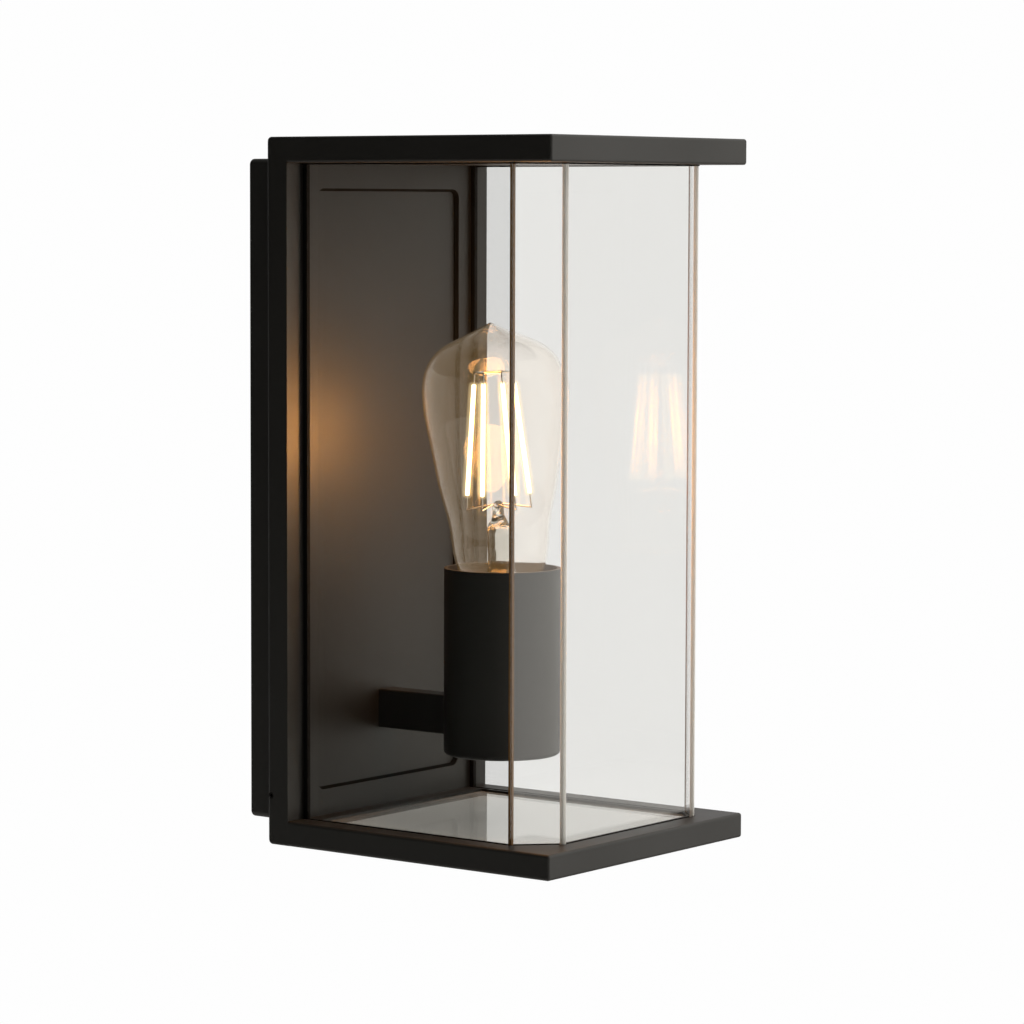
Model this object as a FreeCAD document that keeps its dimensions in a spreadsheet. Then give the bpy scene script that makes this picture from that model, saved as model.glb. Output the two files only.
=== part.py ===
import FreeCAD, Part
import math
import os
import Sketcher
from FreeCAD import Placement, Rotation, Vector

# Outdoor wall lantern: a rear box screwed to the wall, a carrier plate with the lamp on an arm,
# and a glazed cage that slides on from the front and is held by two side screws.
# Millimetres, +Z up. The origin is the middle of the face that meets the wall (y = 0).
# The lantern faces -Y, so a distance "out" from the wall is the point y = -out.

doc = FreeCAD.newDocument("wall_lantern")

SIZES = {
    # overall outline
    "total_height": 300, "total_width": 140, "box_depth": 17, "frame_depth": 12, "hood_depth": 138,
    # rear box
    "box_inset": 9, "box_wall": 2, "box_floor": 2.5, "box_corner": 2.5, "box_rear_edge": 1.5,
    "seal_groove_inset": 4, "seal_groove_width": 3.5, "seal_groove_depth": 1.2, "seal_side_gap": 0.1,
    "wall_slot_spacing": 200, "wall_slot_radius": 2.75, "wall_slot_reach": 3, "drain_radius": 2.5,
    "drain_out": 9,
    # cable entry
    "entry_height": -30, "entry_radius": 7, "grommet_bore": 3.75, "grommet_flange": 9.5,
    "grommet_flange_thick": 2, "grommet_nose": 4, "grommet_gap": 0.1,
    # carrier plate and its screws
    "gasket_thick": 1, "carrier_thick": 2, "panel_rise": 1.5, "panel_overlap": 2, "recess_depth": 2,
    "carrier_screw_inset": 14.5, "carrier_screw_drop": 32, "carrier_boss": 4.2, "carrier_screw_length": 14,
    "big_screw_radius": 2, "big_head_radius": 3.8, "thread_gap": 0.05, "clear_gap": 0.2,
    # frame plate
    "face_thick": 1.5, "skirt_thick": 3.2, "skirt_rear_edge": 3, "frame_edge": 1, "collar_thick": 1.6,
    "collar_setback": 2, "slide_gap": 0.35, "window_margin": 21.5, "window_corner": 4,
    "gasket_gap": 0.3,
    # screws that hold the lid and the base to the frame plate
    "frame_screw_inset": 25, "frame_screw_radius": 1.25, "frame_screw_length": 8, "frame_head_radius": 2.2,
    "frame_head_height": 2, "frame_boss_half": 4.5, "frame_boss_depth": 6, "frame_boss_web": 3,
    # side screws
    "side_screw_rise": 21, "side_screw_out": 19.8, "side_screw_radius": 1.5, "side_screw_length": 6,
    "side_screw_sink": 0.3, "side_boss_half": 4, "tip_radius": 0.9, "tip_length": 1.2, "hex_reach": 0.87,
    "hex_depth": 1.8,
    # lid, liner and base
    "lid_thick": 11, "lid_wall": 3.2, "lid_top": 2.5, "liner_thick": 2.4, "liner_gap": 0.15,
    "hood_edge": 1.2, "base_thick": 10.6, "liner_post_inset": 28, "liner_post_out": 40,
    "liner_post_radius": 4, "small_screw_radius": 1.5, "small_head_radius": 2.8, "liner_screw_length": 8,
    # glass
    "glass_side_inset": 10.2, "glass_front_inset": 11.3, "glass_thick": 3,
    "left_corner_leg": 16, "right_corner_leg": 9.8,
    "bond_gap": 0.1, "groove_gap": 0.3, "base_groove": 2, "liner_groove": 1.4, "seal_floor": 0.5,
    "seal_band": 0.6, "side_seal_width": 2, "side_seal_depth": 0.8,
    # clear floor pane in the base
    "pane_lip": 1.3, "pane_ledge": 4, "pane_drop": 1, "pane_thick": 3, "pane_gap": 0.3,
    "pane_seal": 0.5, "opening_rear": 8,
    # lamp arm and cup
    "lamp_out": 90.3, "arm_width": 10, "arm_height": 17, "arm_middle": -97.5, "arm_edge": 0.8,
    "arm_screw_spread": 6.1, "arm_screw_length": 10, "cup_gap": 4, "cup_bottom": -112.5,
    "cup_height": 80, "cup_wall": 1.5, "cup_floor": 3, "cup_edge": 2, "pan_head_radius": 2.6,
    "pan_head_height": 2,
    # wires
    "wire_radius": 1.1, "core_radius": 0.6, "wire_spread": 1.6, "duct_width": 3.4, "duct_height": 6.6,
    "wire_bend": 6, "live_drop": 70, "live_forward": 4, "earth_drop": 18, "wire_lead_in": 22,
    # terminal block and earth stud
    "block_height": 40, "block_width": 32, "block_tall": 18, "block_deep": 13, "block_stand": 3,
    "pole_spacing": 10, "clamp_radius": 2.1, "clamp_bore": 1.3, "clamp_length": 14, "clamp_screw": 1.2,
    "clamp_head": 1.8, "clamp_screw_spread": 4, "stand_radius": 3.4, "earth_x": 38, "earth_height": -40,
    "earth_boss": 4.5, "earth_boss_tall": 8, "tag_thick": 0.8, "tag_radius": 4, "barrel_length": 6,
    "barrel_wall": 0.5, "barrel_floor": 1.5, "tag_root": 1.2, "screw_slot_depth": 0.8,
    "screw_slot_half": 0.25,
    # lampholder
    "holder_bottom": -86, "holder_top": -42.5, "holder_radius": 19, "socket_bore": 14.6,
    "socket_floor": -70, "pillar_x": 10.5, "pillar_radius": 3, "head_pocket": 10, "shell_radius": 14.4,
    "shell_thick": 0.5, "shell_bottom": -66, "shell_top": -44, "strip_width": 5, "strip_thick": 0.5,
    "contact_gap": 0.3, "live_reach": 9, "tail_bottom": -80, "holder_edge": 1,
    "pillar_screw_run": 6, "tongue_reach": 3,
    # lamp
    "lamp_bottom": -68, "lamp_top": 72.2, "lamp_radius": 30.4, "lamp_wall": 0.8, "lamp_lean": 2.5,
    "lean_heading": 127.5, "cap_radius": 13.1, "cap_inner": 12.2, "cap_top": -42, "cap_skirt": -62.5,
    "thread_pitch": 3.629, "thread_turns": 4, "thread_depth": 0.75, "button_radius": 4.8,
    "button_height": 1.5, "stem_radius": 5.3, "stem_wall": 0.8, "stem_top": -13, "pinch_top": -4,
    "pinch_radius": 3.4, "filaments": 6, "first_filament": 7.5, "filament_radius": 1,
    "filament_low": -1.2, "filament_high": 46.2, "filament_foot": 12.9, "filament_head": 8.1,
    "lead_radius": 0.3, "crown_height": 51, "foot_height": -7, "board_width": 13, "board_thick": 1.2,
    "stem_flare": 0.82, "stem_flare_rise": 7, "stem_shoulder": 3, "pinch_thick": 2.4,
    "insulator_lip": 0.8, "insulator_plug": 1.5, "button_edge": 0.6,
}

sheet = doc.addObject("Spreadsheet::Sheet", "sizes")
for row, (alias, number) in enumerate(SIZES.items(), start=1):
    sheet.set("A%d" % row, alias)
    sheet.set("B%d" % row, str(number))
    sheet.setAlias("B%d" % row, alias)
doc.recompute()


class Dim:
    """A size together with the sheet expression that it comes from."""

    def __init__(self, value, text):
        self.value = float(value)
        self.text = text

    def __add__(self, other):
        other = dim(other)
        return Dim(self.value + other.value, "(%s + %s)" % (self.text, other.text))

    def __sub__(self, other):
        other = dim(other)
        return Dim(self.value - other.value, "(%s - %s)" % (self.text, other.text))

    def __mul__(self, other):
        other = dim(other)
        return Dim(self.value * other.value, "(%s * %s)" % (self.text, other.text))

    def __truediv__(self, other):
        other = dim(other)
        return Dim(self.value / other.value, "(%s / %s)" % (self.text, other.text))

    def __neg__(self):
        return Dim(-self.value, "(0 - %s)" % self.text)

    def __radd__(self, other):
        return dim(other) + self

    def __rsub__(self, other):
        return dim(other) - self

    def __rmul__(self, other):
        return dim(other) * self

    def __float__(self):
        return self.value


def dim(number):
    """Make a plain number a Dim, and leave a Dim as it is."""
    if isinstance(number, Dim):
        return number
    return Dim(number, "(%r)" % float(number))


class Sizes:
    """The sheet's cells as attributes."""


S = Sizes()
for alias in SIZES:
    setattr(S, alias, Dim(sheet.get(alias), "sizes.%s" % alias))
S.carrier_screw_x = S.total_width / 2 - S.carrier_screw_inset
S.carrier_screw_z = S.total_height / 2 - S.carrier_screw_drop
S.frame_screw_x = S.total_width / 2 - S.frame_screw_inset
S.liner_post_x = S.total_width / 2 - S.liner_post_inset
S.side_screw_height = S.side_screw_rise - S.total_height / 2
S.cup_radius = S.holder_radius + S.cup_gap + S.cup_wall

nodes = []


def keep(piece, label):
    """Give a finished sub-part its name and list it for writing."""
    piece.Label = label
    nodes.append(piece)
    return piece


def bind(thing, name, size):
    thing.setExpression(name, dim(size).text)


def place(thing, x, out, z, rotation=None):
    """Put an object at a point given by its distance out from the wall."""
    thing.Placement = Placement(Vector(float(x), -float(out), float(z)), rotation or Rotation())
    bind(thing, "Placement.Base.x", x)
    bind(thing, "Placement.Base.y", -dim(out))
    bind(thing, "Placement.Base.z", z)
    return thing


# ---- plain solids, joins and cuts ----

TURNS = {
    "up": Rotation(),
    "out": Rotation(Vector(1, 0, 0), 90),
    "in": Rotation(Vector(1, 0, 0), -90),
    "right": Rotation(Vector(0, 1, 0), 90),
    "left": Rotation(Vector(0, 1, 0), -90),
    "down": Rotation(Vector(1, 0, 0), 180),
}


def block(x0, x1, out0, out1, z0, z1):
    thing = doc.addObject("Part::Box", "block")
    bind(thing, "Length", dim(x1) - x0)
    bind(thing, "Width", dim(out1) - out0)
    bind(thing, "Height", dim(z1) - z0)
    return place(thing, x0, out1, z0)


def rod(radius, length, x, out, z, way="up"):
    """A cylinder from a point, along one of the named ways."""
    thing = doc.addObject("Part::Cylinder", "rod")
    bind(thing, "Radius", radius)
    bind(thing, "Height", length)
    return place(thing, x, out, z, TURNS[way])


def cone(radius0, radius1, length, x, out, z, way="up"):
    thing = doc.addObject("Part::Cone", "cone")
    bind(thing, "Radius1", radius0)
    bind(thing, "Radius2", radius1)
    bind(thing, "Height", length)
    return place(thing, x, out, z, TURNS[way])


def hexagon(reach, length, x, out, z, way="up"):
    """A six-sided prism, sized by its corner radius."""
    thing = doc.addObject("Part::Prism", "hexagon")
    thing.Polygon = 6
    bind(thing, "Circumradius", reach)
    bind(thing, "Height", length)
    return place(thing, x, out, z, TURNS[way])


def join(*pieces):
    thing = doc.addObject("Part::MultiFuse", "join")
    thing.Shapes = list(pieces)
    return thing


def cut(base, *tools):
    """Take tools away from a piece, and stop if nothing was taken."""
    thing = doc.addObject("Part::Cut", "cut")
    thing.Base = base
    thing.Tool = tools[0] if len(tools) == 1 else join(*tools)
    doc.recompute()
    if thing.Shape.Volume > base.Shape.Volume - 1e-6:
        raise RuntimeError("a cut took nothing from %s" % base.Label)
    return thing


def group(*pieces):
    """Several separate solids in one node."""
    thing = doc.addObject("Part::Compound", "group")
    thing.Links = list(pieces)
    return thing


def rounded(base, radius, chosen):
    """Round the edges that a test picks."""
    doc.recompute()
    thing = doc.addObject("Part::Fillet", "rounded")
    thing.Base = base
    edges = [i for i, edge in enumerate(base.Shape.Edges, start=1) if chosen(edge)]
    thing.Edges = [(i, float(radius), float(radius)) for i in edges]
    return thing


# ---- bodies grown from sketched outlines ----

def new_body(label):
    body = doc.addObject("PartDesign::Body", label)
    body.Label = label
    return body


def profile(body, role, offset, loops, circles=()):
    """A fully constrained sketch of straight loops and circles on one of the body's own planes.

    XZ_Plane sketches are read as (x, z) and their offset is a distance out from the wall.
    XY_Plane sketches are read as (x, out) and their offset is a height.
    """
    sketch = body.newObject("Sketcher::SketchObject", "sketch")
    plane = [item for item in body.Origin.OriginFeatures if item.Role == role][0]
    sketch.AttachmentSupport = [(plane, "")]
    sketch.MapMode = "FlatFace"
    sketch.AttachmentOffset = Placement(Vector(0, 0, float(offset)), Rotation())
    bind(sketch, "AttachmentOffset.Base.z", offset)
    flip = -1 if role == "XY_Plane" else 1
    for loop in loops:
        points = [(dim(a), dim(b) * flip) for a, b in loop]
        first = sketch.GeometryCount
        count = len(points)
        for i, (a, b) in enumerate(points):
            c, d = points[(i + 1) % count]
            line = Part.LineSegment(Vector(float(a), float(b), 0), Vector(float(c), float(d), 0))
            sketch.addGeometry(line, False)
        for i, (a, b) in enumerate(points):
            before = first + (i - 1) % count
            sketch.addConstraint(Sketcher.Constraint("Coincident", before, 2, first + i, 1))
            pin(sketch, first + i, 1, a, b)
    for a, b, radius in circles:
        a, b = dim(a), dim(b) * flip
        ring = Part.Circle(Vector(float(a), float(b), 0), Vector(0, 0, 1), float(radius))
        index = sketch.addGeometry(ring, False)
        pin(sketch, index, 3, a, b)
        number = sketch.addConstraint(Sketcher.Constraint("Radius", index, float(radius)))
        bind(sketch, "Constraints[%d]" % number, radius)
    doc.recompute()
    return sketch


def pin(sketch, index, point, a, b):
    """Hold one point of a sketch at its two sizes from the sketch's origin."""
    number = sketch.addConstraint(Sketcher.Constraint("DistanceX", -1, 1, index, point, float(a)))
    bind(sketch, "Constraints[%d]" % number, a)
    number = sketch.addConstraint(Sketcher.Constraint("DistanceY", -1, 1, index, point, float(b)))
    bind(sketch, "Constraints[%d]" % number, b)


def grow(body, sketch, length, back=False):
    """Pad a sketch along its normal, or back against it."""
    pad = body.newObject("PartDesign::Pad", "pad")
    pad.Profile = sketch
    pad.Reversed = back
    bind(pad, "Length", length)
    doc.recompute()
    return pad


def sink(body, sketch, depth, ahead=False):
    """Pocket a sketch against its normal, or ahead along it, and stop if nothing was taken."""
    before = body.Shape.Volume
    pocket = body.newObject("PartDesign::Pocket", "pocket")
    pocket.Profile = sketch
    pocket.Reversed = ahead
    bind(pocket, "Length", depth)
    doc.recompute()
    if body.Shape.Volume > before - 1e-6:
        raise RuntimeError("a pocket took nothing from %s" % body.Label)
    return pocket


def turn(body, loop):
    """Revolve a loop of (radius, z) points about the body's Z axis."""
    sketch = profile(body, "XZ_Plane", 0, [loop])
    solid = body.newObject("PartDesign::Revolution", "revolution")
    solid.Profile = sketch
    solid.ReferenceAxis = (sketch, ["V_Axis"])
    solid.Angle = 360
    doc.recompute()
    return solid


def soften(body, radius, chosen):
    """Fillet the edges of a body that a test picks."""
    fillet = body.newObject("PartDesign::Fillet", "fillet")
    tip = body.Tip if body.Tip != fillet else fillet.BaseFeature
    names = ["Edge%d" % i for i, edge in enumerate(tip.Shape.Edges, start=1) if chosen(edge)]
    fillet.Base = (tip, names)
    bind(fillet, "Radius", radius)
    doc.recompute()
    return fillet


def rect(half_width, half_height):
    return [(-half_width, -half_height), (half_width, -half_height),
            (half_width, half_height), (-half_width, half_height)]


def box_loop(x0, x1, b0, b1):
    return [(x0, b0), (x1, b0), (x1, b1), (x0, b1)]


def runs(edge, axis):
    """True for a straight edge along the named axis."""
    box = edge.BoundBox
    spans = {"x": box.XLength, "y": box.YLength, "z": box.ZLength}
    along = spans.pop(axis)
    return along > 0.01 and max(spans.values()) < 0.001


def mid(edge):
    return edge.BoundBox.Center


# ---- places that several pieces share ----

half_width = S.total_width / 2
half_height = S.total_height / 2
frame_face = S.box_depth + S.frame_depth
hood_front = frame_face + S.hood_depth
box_half = half_width - S.box_inset
box_high = half_height - S.box_inset
face_back = frame_face - S.face_thick
panel_face = frame_face - S.recess_depth
carrier_face = panel_face - S.panel_rise
carrier_back = carrier_face - S.carrier_thick
rim_out = carrier_back - S.gasket_thick
window_half = half_width - S.window_margin
window_high = half_height - S.window_margin
cavity_half = box_half - S.box_wall
cavity_high = box_high - S.box_wall
lid_bottom = half_height - S.lid_thick
base_top = S.base_thick - half_height
cup_top = S.cup_bottom + S.cup_height
cup_bed = S.cup_bottom + S.cup_floor
duct_low = S.arm_middle - S.duct_height / 2
duct_high = S.arm_middle + S.duct_height / 2
carrier_screw_spots = [(sx * S.carrier_screw_x, sz * S.carrier_screw_z) for sx in (-1, 1) for sz in (-1, 1)]


# ---- rear box, fixed to the wall ----

def make_rear_box():
    body = new_body("rear_box")
    grow(body, profile(body, "XZ_Plane", 0, [rect(box_half, box_high)]), rim_out)
    soften(body, S.box_corner, lambda edge: runs(edge, "y"))
    soften(body, S.box_rear_edge, lambda edge: edge.BoundBox.YMin > -1e-6)
    sink(body, profile(body, "XZ_Plane", rim_out, [rect(cavity_half, cavity_high)]),
         rim_out - S.box_floor)
    bosses = [(x, z, S.carrier_boss) for x, z in carrier_screw_spots]
    grow(body, profile(body, "XZ_Plane", S.box_floor, [], bosses), rim_out - S.box_floor)
    holes = [(x, z, S.big_screw_radius + S.thread_gap) for x, z in carrier_screw_spots]
    sink(body, profile(body, "XZ_Plane", rim_out, [], holes),
         S.carrier_screw_length + S.clear_gap - carrier_face + rim_out)
    stands = [(side * S.pole_spacing / 2, S.block_height, S.stand_radius) for side in (-1, 1)]
    grow(body, profile(body, "XZ_Plane", S.box_floor, [], stands), S.block_stand)
    stand_holes = [(x, z, S.small_screw_radius + S.thread_gap) for x, z, radius in stands]
    sink(body, profile(body, "XZ_Plane", S.box_floor + S.block_stand, [], stand_holes), S.block_stand)
    earth = [(S.earth_x, S.earth_height, S.earth_boss)]
    grow(body, profile(body, "XZ_Plane", S.box_floor, [], earth), S.earth_boss_tall)
    earth_hole = [(S.earth_x, S.earth_height, S.big_screw_radius + S.thread_gap)]
    sink(body, profile(body, "XZ_Plane", S.box_floor + S.earth_boss_tall, [], earth_hole),
         S.earth_boss_tall)
    outer = S.seal_groove_inset
    inner = S.seal_groove_inset + S.seal_groove_width
    groove = [rect(box_half - outer, box_high - outer), rect(box_half - inner, box_high - inner)]
    sink(body, profile(body, "XZ_Plane", 0, groove), S.seal_groove_depth, ahead=True)
    entry = [(0, S.entry_height, S.entry_radius)]
    sink(body, profile(body, "XZ_Plane", S.box_floor, [], entry), S.box_floor)
    for side in (-1, 1):
        z = side * S.wall_slot_spacing / 2
        reach = S.wall_slot_reach
        ends = [(0, z - reach, S.wall_slot_radius), (0, z + reach, S.wall_slot_radius)]
        middle = box_loop(-S.wall_slot_radius, S.wall_slot_radius, z - reach, z + reach)
        sink(body, profile(body, "XZ_Plane", S.box_floor, [], ends[:1]), S.box_floor)
        sink(body, profile(body, "XZ_Plane", S.box_floor, [], ends[1:]), S.box_floor)
        sink(body, profile(body, "XZ_Plane", S.box_floor, [middle]), S.box_floor)
    drain = [(0, S.drain_out, S.drain_radius)]
    sink(body, profile(body, "XY_Plane", -cavity_high, [], drain), S.box_wall + S.clear_gap)
    keep(body, "rear_box")


def make_wall_gasket():
    body = new_body("wall_gasket")
    outer = S.seal_groove_inset + S.seal_side_gap
    inner = S.seal_groove_inset + S.seal_groove_width - S.seal_side_gap
    loops = [rect(box_half - outer, box_high - outer), rect(box_half - inner, box_high - inner)]
    grow(body, profile(body, "XZ_Plane", 0, loops), S.seal_groove_depth)
    keep(body, "wall_gasket")


def make_grommet():
    x, z = 0, S.entry_height
    neck = rod(S.entry_radius - S.grommet_gap, S.box_floor, x, 0, z, "out")
    flange = rod(S.grommet_flange, S.grommet_flange_thick, x, S.box_floor, z, "out")
    nose_start = S.box_floor + S.grommet_flange_thick
    nose = cone(S.entry_radius, S.grommet_bore + 1, S.grommet_nose, x, nose_start, z, "out")
    bore = rod(S.grommet_bore, nose_start + S.grommet_nose, x, 0, z, "out")
    keep(cut(join(neck, flange, nose), bore), "cable_grommet")


def make_box_gasket():
    body = new_body("box_gasket")
    loops = [rect(box_half - S.seal_side_gap, box_high - S.seal_side_gap), rect(cavity_half, cavity_high)]
    grow(body, profile(body, "XZ_Plane", rim_out, loops), S.gasket_thick)
    eyes = [(x, z, S.carrier_boss) for x, z in carrier_screw_spots]
    grow(body, profile(body, "XZ_Plane", rim_out, [], eyes), S.gasket_thick)
    holes = [(x, z, S.big_screw_radius + S.clear_gap) for x, z in carrier_screw_spots]
    sink(body, profile(body, "XZ_Plane", rim_out + S.gasket_thick, [], holes), S.gasket_thick)
    keep(body, "box_gasket")


def make_carrier_plate():
    body = new_body("carrier_body")
    grow(body, profile(body, "XZ_Plane", carrier_back, [rect(box_half, box_high)]), S.carrier_thick)
    panel_half = window_half + S.panel_overlap
    panel_high = window_high + S.panel_overlap
    grow(body, profile(body, "XZ_Plane", carrier_back, [rect(panel_half, panel_high)]),
         S.carrier_thick + S.panel_rise)
    soften(body, S.window_corner,
           lambda edge: runs(edge, "y") and abs(mid(edge).x) < panel_half.value + 0.01)
    soften(body, S.box_corner,
           lambda edge: runs(edge, "y") and abs(mid(edge).x) > panel_half.value + 0.01)
    hollow = rect(panel_half - S.carrier_thick, panel_high - S.carrier_thick)
    sink(body, profile(body, "XZ_Plane", carrier_back, [hollow]), S.panel_rise, ahead=True)
    duct = box_loop(-S.duct_width / 2, S.duct_width / 2, duct_low, duct_high)
    sink(body, profile(body, "XZ_Plane", panel_face, [duct]), S.carrier_thick + S.clear_gap)
    spots = [(0, S.arm_middle + side * S.arm_screw_spread, S.small_screw_radius + S.clear_gap)
             for side in (-1, 1)]
    sink(body, profile(body, "XZ_Plane", panel_face, [], spots), S.carrier_thick + S.clear_gap)
    tools = []
    for x, z in carrier_screw_spots:
        tools.append(rod(S.big_screw_radius + S.clear_gap, S.carrier_thick, x, carrier_back, z, "out"))
        tools.append(cone(S.big_head_radius + S.clear_gap, S.big_screw_radius + S.clear_gap,
                          S.big_head_radius - S.big_screw_radius, x, carrier_face, z, "in"))
    keep(cut(body, *tools), "carrier_plate")


def flat_head_screw(radius, head, length, x, out, z, way):
    """A countersunk screw whose flat head starts at the point and whose shank runs the named way."""
    shank = rod(radius, length, x, out, z, way)
    sunk = cone(head, radius, head - radius, x, out, z, way)
    socket = hexagon(radius * 0.6, radius * 0.7, x, out, z, way)
    return cut(join(shank, sunk), socket)


def pan_head_screw(radius, head, rise, length, x, out, z, way):
    """A screw whose shank starts at the point, with a raised head behind it."""
    back = {"out": "in", "in": "out", "up": "down", "down": "up"}[way]
    shank = rod(radius, length, x, out, z, way)
    cap = rod(head, rise, x, out, z, back)
    if way in ("out", "in"):
        top = dim(out) - rise if way == "out" else dim(out) + rise
        socket = hexagon(head * 0.45, rise * 0.6, x, top, z, way)
    else:
        top = dim(z) - rise if way == "up" else dim(z) + rise
        socket = hexagon(head * 0.45, rise * 0.6, x, out, top, way)
    return cut(join(shank, cap), socket)


def make_carrier_screws():
    screws = [flat_head_screw(S.big_screw_radius, S.big_head_radius, S.carrier_screw_length,
                              x, carrier_face, z, "in") for x, z in carrier_screw_spots]
    keep(group(*screws), "carrier_screws")


# ---- wiring in the rear box ----

block_back = S.box_floor + S.block_stand
block_front = block_back + S.block_deep
clamp_out = block_back + S.block_deep / 2
poles = [-S.pole_spacing, dim(0), S.pole_spacing]


def make_terminal_block():
    half = S.block_width / 2
    tall = S.block_tall / 2
    body = block(-half, half, block_back, block_front, S.block_height - tall, S.block_height + tall)
    tools = []
    for x in poles:
        tools.append(rod(S.clamp_radius, S.block_tall, x, clamp_out, S.block_height - tall))
        for side in (-1, 1):
            z = S.block_height + side * S.clamp_screw_spread
            tools.append(rod(S.clamp_head + S.clear_gap, block_front - clamp_out, x, clamp_out, z, "out"))
    for side in (-1, 1):
        x = side * S.pole_spacing / 2
        tools.append(rod(S.small_screw_radius + S.clear_gap, S.block_deep, x, block_back, S.block_height,
                         "out"))
    keep(cut(body, *tools), "terminal_block")


def make_terminal_clamps():
    clamps = []
    for x in poles:
        start = S.block_height - S.clamp_length / 2
        sleeve = rod(S.clamp_radius, S.clamp_length, x, clamp_out, start)
        bore = rod(S.clamp_bore, S.clamp_length, x, clamp_out, start)
        taps = [rod(S.clamp_screw + S.thread_gap, S.clamp_radius, x, clamp_out,
                    S.block_height + side * S.clamp_screw_spread, "out") for side in (-1, 1)]
        clamps.append(cut(sleeve, bore, *taps))
    keep(group(*clamps), "terminal_clamps")


def make_terminal_screws():
    screws = []
    tip = clamp_out + S.core_radius + S.thread_gap
    seat = clamp_out + S.clamp_radius + S.clear_gap
    for x in poles:
        for side in (-1, 1):
            z = S.block_height + side * S.clamp_screw_spread
            shank = rod(S.clamp_screw, seat - tip, x, tip, z, "out")
            head = rod(S.clamp_head, S.pan_head_height, x, seat, z, "out")
            top = seat + S.pan_head_height
            slot = block(x - S.clamp_head, x + S.clamp_head, top - S.screw_slot_depth, top,
                         z - S.screw_slot_half, z + S.screw_slot_half)
            screws.append(cut(join(shank, head), slot))
    keep(group(*screws), "terminal_screws")


def make_block_screws():
    length = S.block_deep + S.block_stand
    screws = [pan_head_screw(S.small_screw_radius, S.pan_head_radius, S.pan_head_height, length,
                             side * S.pole_spacing / 2, block_front, S.block_height, "in")
              for side in (-1, 1)]
    keep(group(*screws), "block_screws")


tag_back = S.box_floor + S.earth_boss_tall
barrel_radius = S.wire_radius + S.barrel_wall
barrel_out = tag_back + barrel_radius
barrel_low = S.earth_height + S.tag_radius


def make_earth_stud():
    face = tag_back + S.tag_thick
    keep(pan_head_screw(S.big_screw_radius, S.big_head_radius, S.pan_head_height, S.earth_boss_tall,
                        S.earth_x, face, S.earth_height, "in"), "earth_screw")
    ring = rod(S.tag_radius, S.tag_thick, S.earth_x, tag_back, S.earth_height, "out")
    barrel = rod(barrel_radius, S.barrel_length, S.earth_x, barrel_out, barrel_low)
    root = block(S.earth_x - S.tag_root, S.earth_x + S.tag_root, tag_back, face, S.earth_height,
                 barrel_low + 1)
    eye = rod(S.big_screw_radius + S.thread_gap, S.tag_thick, S.earth_x, tag_back, S.earth_height, "out")
    mouth = rod(S.wire_radius, S.barrel_length - S.barrel_floor, S.earth_x, barrel_out,
                barrel_low + S.barrel_floor)
    keep(cut(join(ring, barrel, root), eye, mouth), "earth_tag")


def wire(points, bend):
    """A round wire along straight runs joined by tangent arcs, with a bare end in its clamp."""
    spots = [Vector(float(x), -float(out), float(z)) for x, out, z in points]
    edges = []
    start = spots[0]
    for before, corner, after in zip(spots, spots[1:], spots[2:]):
        come = (corner - before).normalize()
        leave = (after - corner).normalize()
        half = come.getAngle(leave) / 2
        reach = bend * math.tan(half)
        first = corner - come * reach
        last = corner + leave * reach
        inward = (leave - come).normalize()
        middle = corner + inward * (bend / math.cos(half) - bend)
        edges.append(Part.LineSegment(start, first).toShape())
        edges.append(Part.Arc(first, middle, last).toShape())
        start = last
    edges.append(Part.LineSegment(start, spots[-1]).toShape())
    path = Part.Wire(edges)
    way = (spots[1] - spots[0]).normalize()
    ring = Part.Wire(Part.Circle(spots[0], way, S.wire_radius.value).toShape())
    tube = path.makePipeShell([ring], True, False)
    bare = Part.makeCylinder(S.core_radius.value, S.clamp_length.value / 2 + 2, spots[0], -way)
    return tube.fuse(bare)


def keep_shape(shape, label, placement=None):
    thing = doc.addObject("Part::Feature", label)
    thing.Shape = shape
    if placement:
        thing.Placement = placement
    return keep(thing, label)


def make_wires():
    start = S.block_height - S.block_tall / 2
    upper = S.arm_middle + S.wire_spread
    lower = S.arm_middle - S.wire_spread
    live_out = clamp_out + S.live_forward
    live_end = S.lamp_out - S.live_reach
    neutral_end = S.lamp_out + S.shell_radius - S.shell_thick / 2
    bend = S.wire_bend.value
    live = [(-S.pole_spacing, clamp_out, start), (-S.pole_spacing, clamp_out, start - S.live_drop),
            (0, live_out, upper + S.wire_lead_in), (0, live_out, upper), (0, live_end, upper),
            (0, live_end, S.tail_bottom)]
    neutral = [(0, clamp_out, start), (0, clamp_out, lower), (0, neutral_end, lower),
               (0, neutral_end, S.tail_bottom)]
    top = barrel_low + S.barrel_length
    earth = [(S.pole_spacing, clamp_out, start), (S.pole_spacing, clamp_out, start - S.earth_drop),
             (S.earth_x, barrel_out, top + S.wire_lead_in),
             (S.earth_x, barrel_out, barrel_low + S.barrel_floor)]
    keep_shape(wire(live, bend), "wire_live")
    keep_shape(wire(neutral, bend), "wire_neutral")
    keep_shape(wire(earth, bend), "wire_earth")


# ---- lamp arm and cup ----

def make_arm():
    half = S.arm_width / 2
    low = S.arm_middle - S.arm_height / 2
    high = S.arm_middle + S.arm_height / 2
    bar = rounded(block(-half, half, panel_face, S.lamp_out, low, high), S.arm_edge,
                  lambda edge: runs(edge, "y"))
    seat = rod(S.cup_radius, S.arm_height, 0, S.lamp_out, low)
    duct = block(-S.duct_width / 2, S.duct_width / 2, panel_face, S.lamp_out, duct_low, duct_high)
    tools = [seat, duct]
    for side in (-1, 1):
        z = S.arm_middle + side * S.arm_screw_spread
        tools.append(rod(S.small_screw_radius + S.thread_gap, S.lamp_out - panel_face, 0, panel_face, z,
                         "out"))
    keep(cut(bar, *tools), "lamp_arm")


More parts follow.
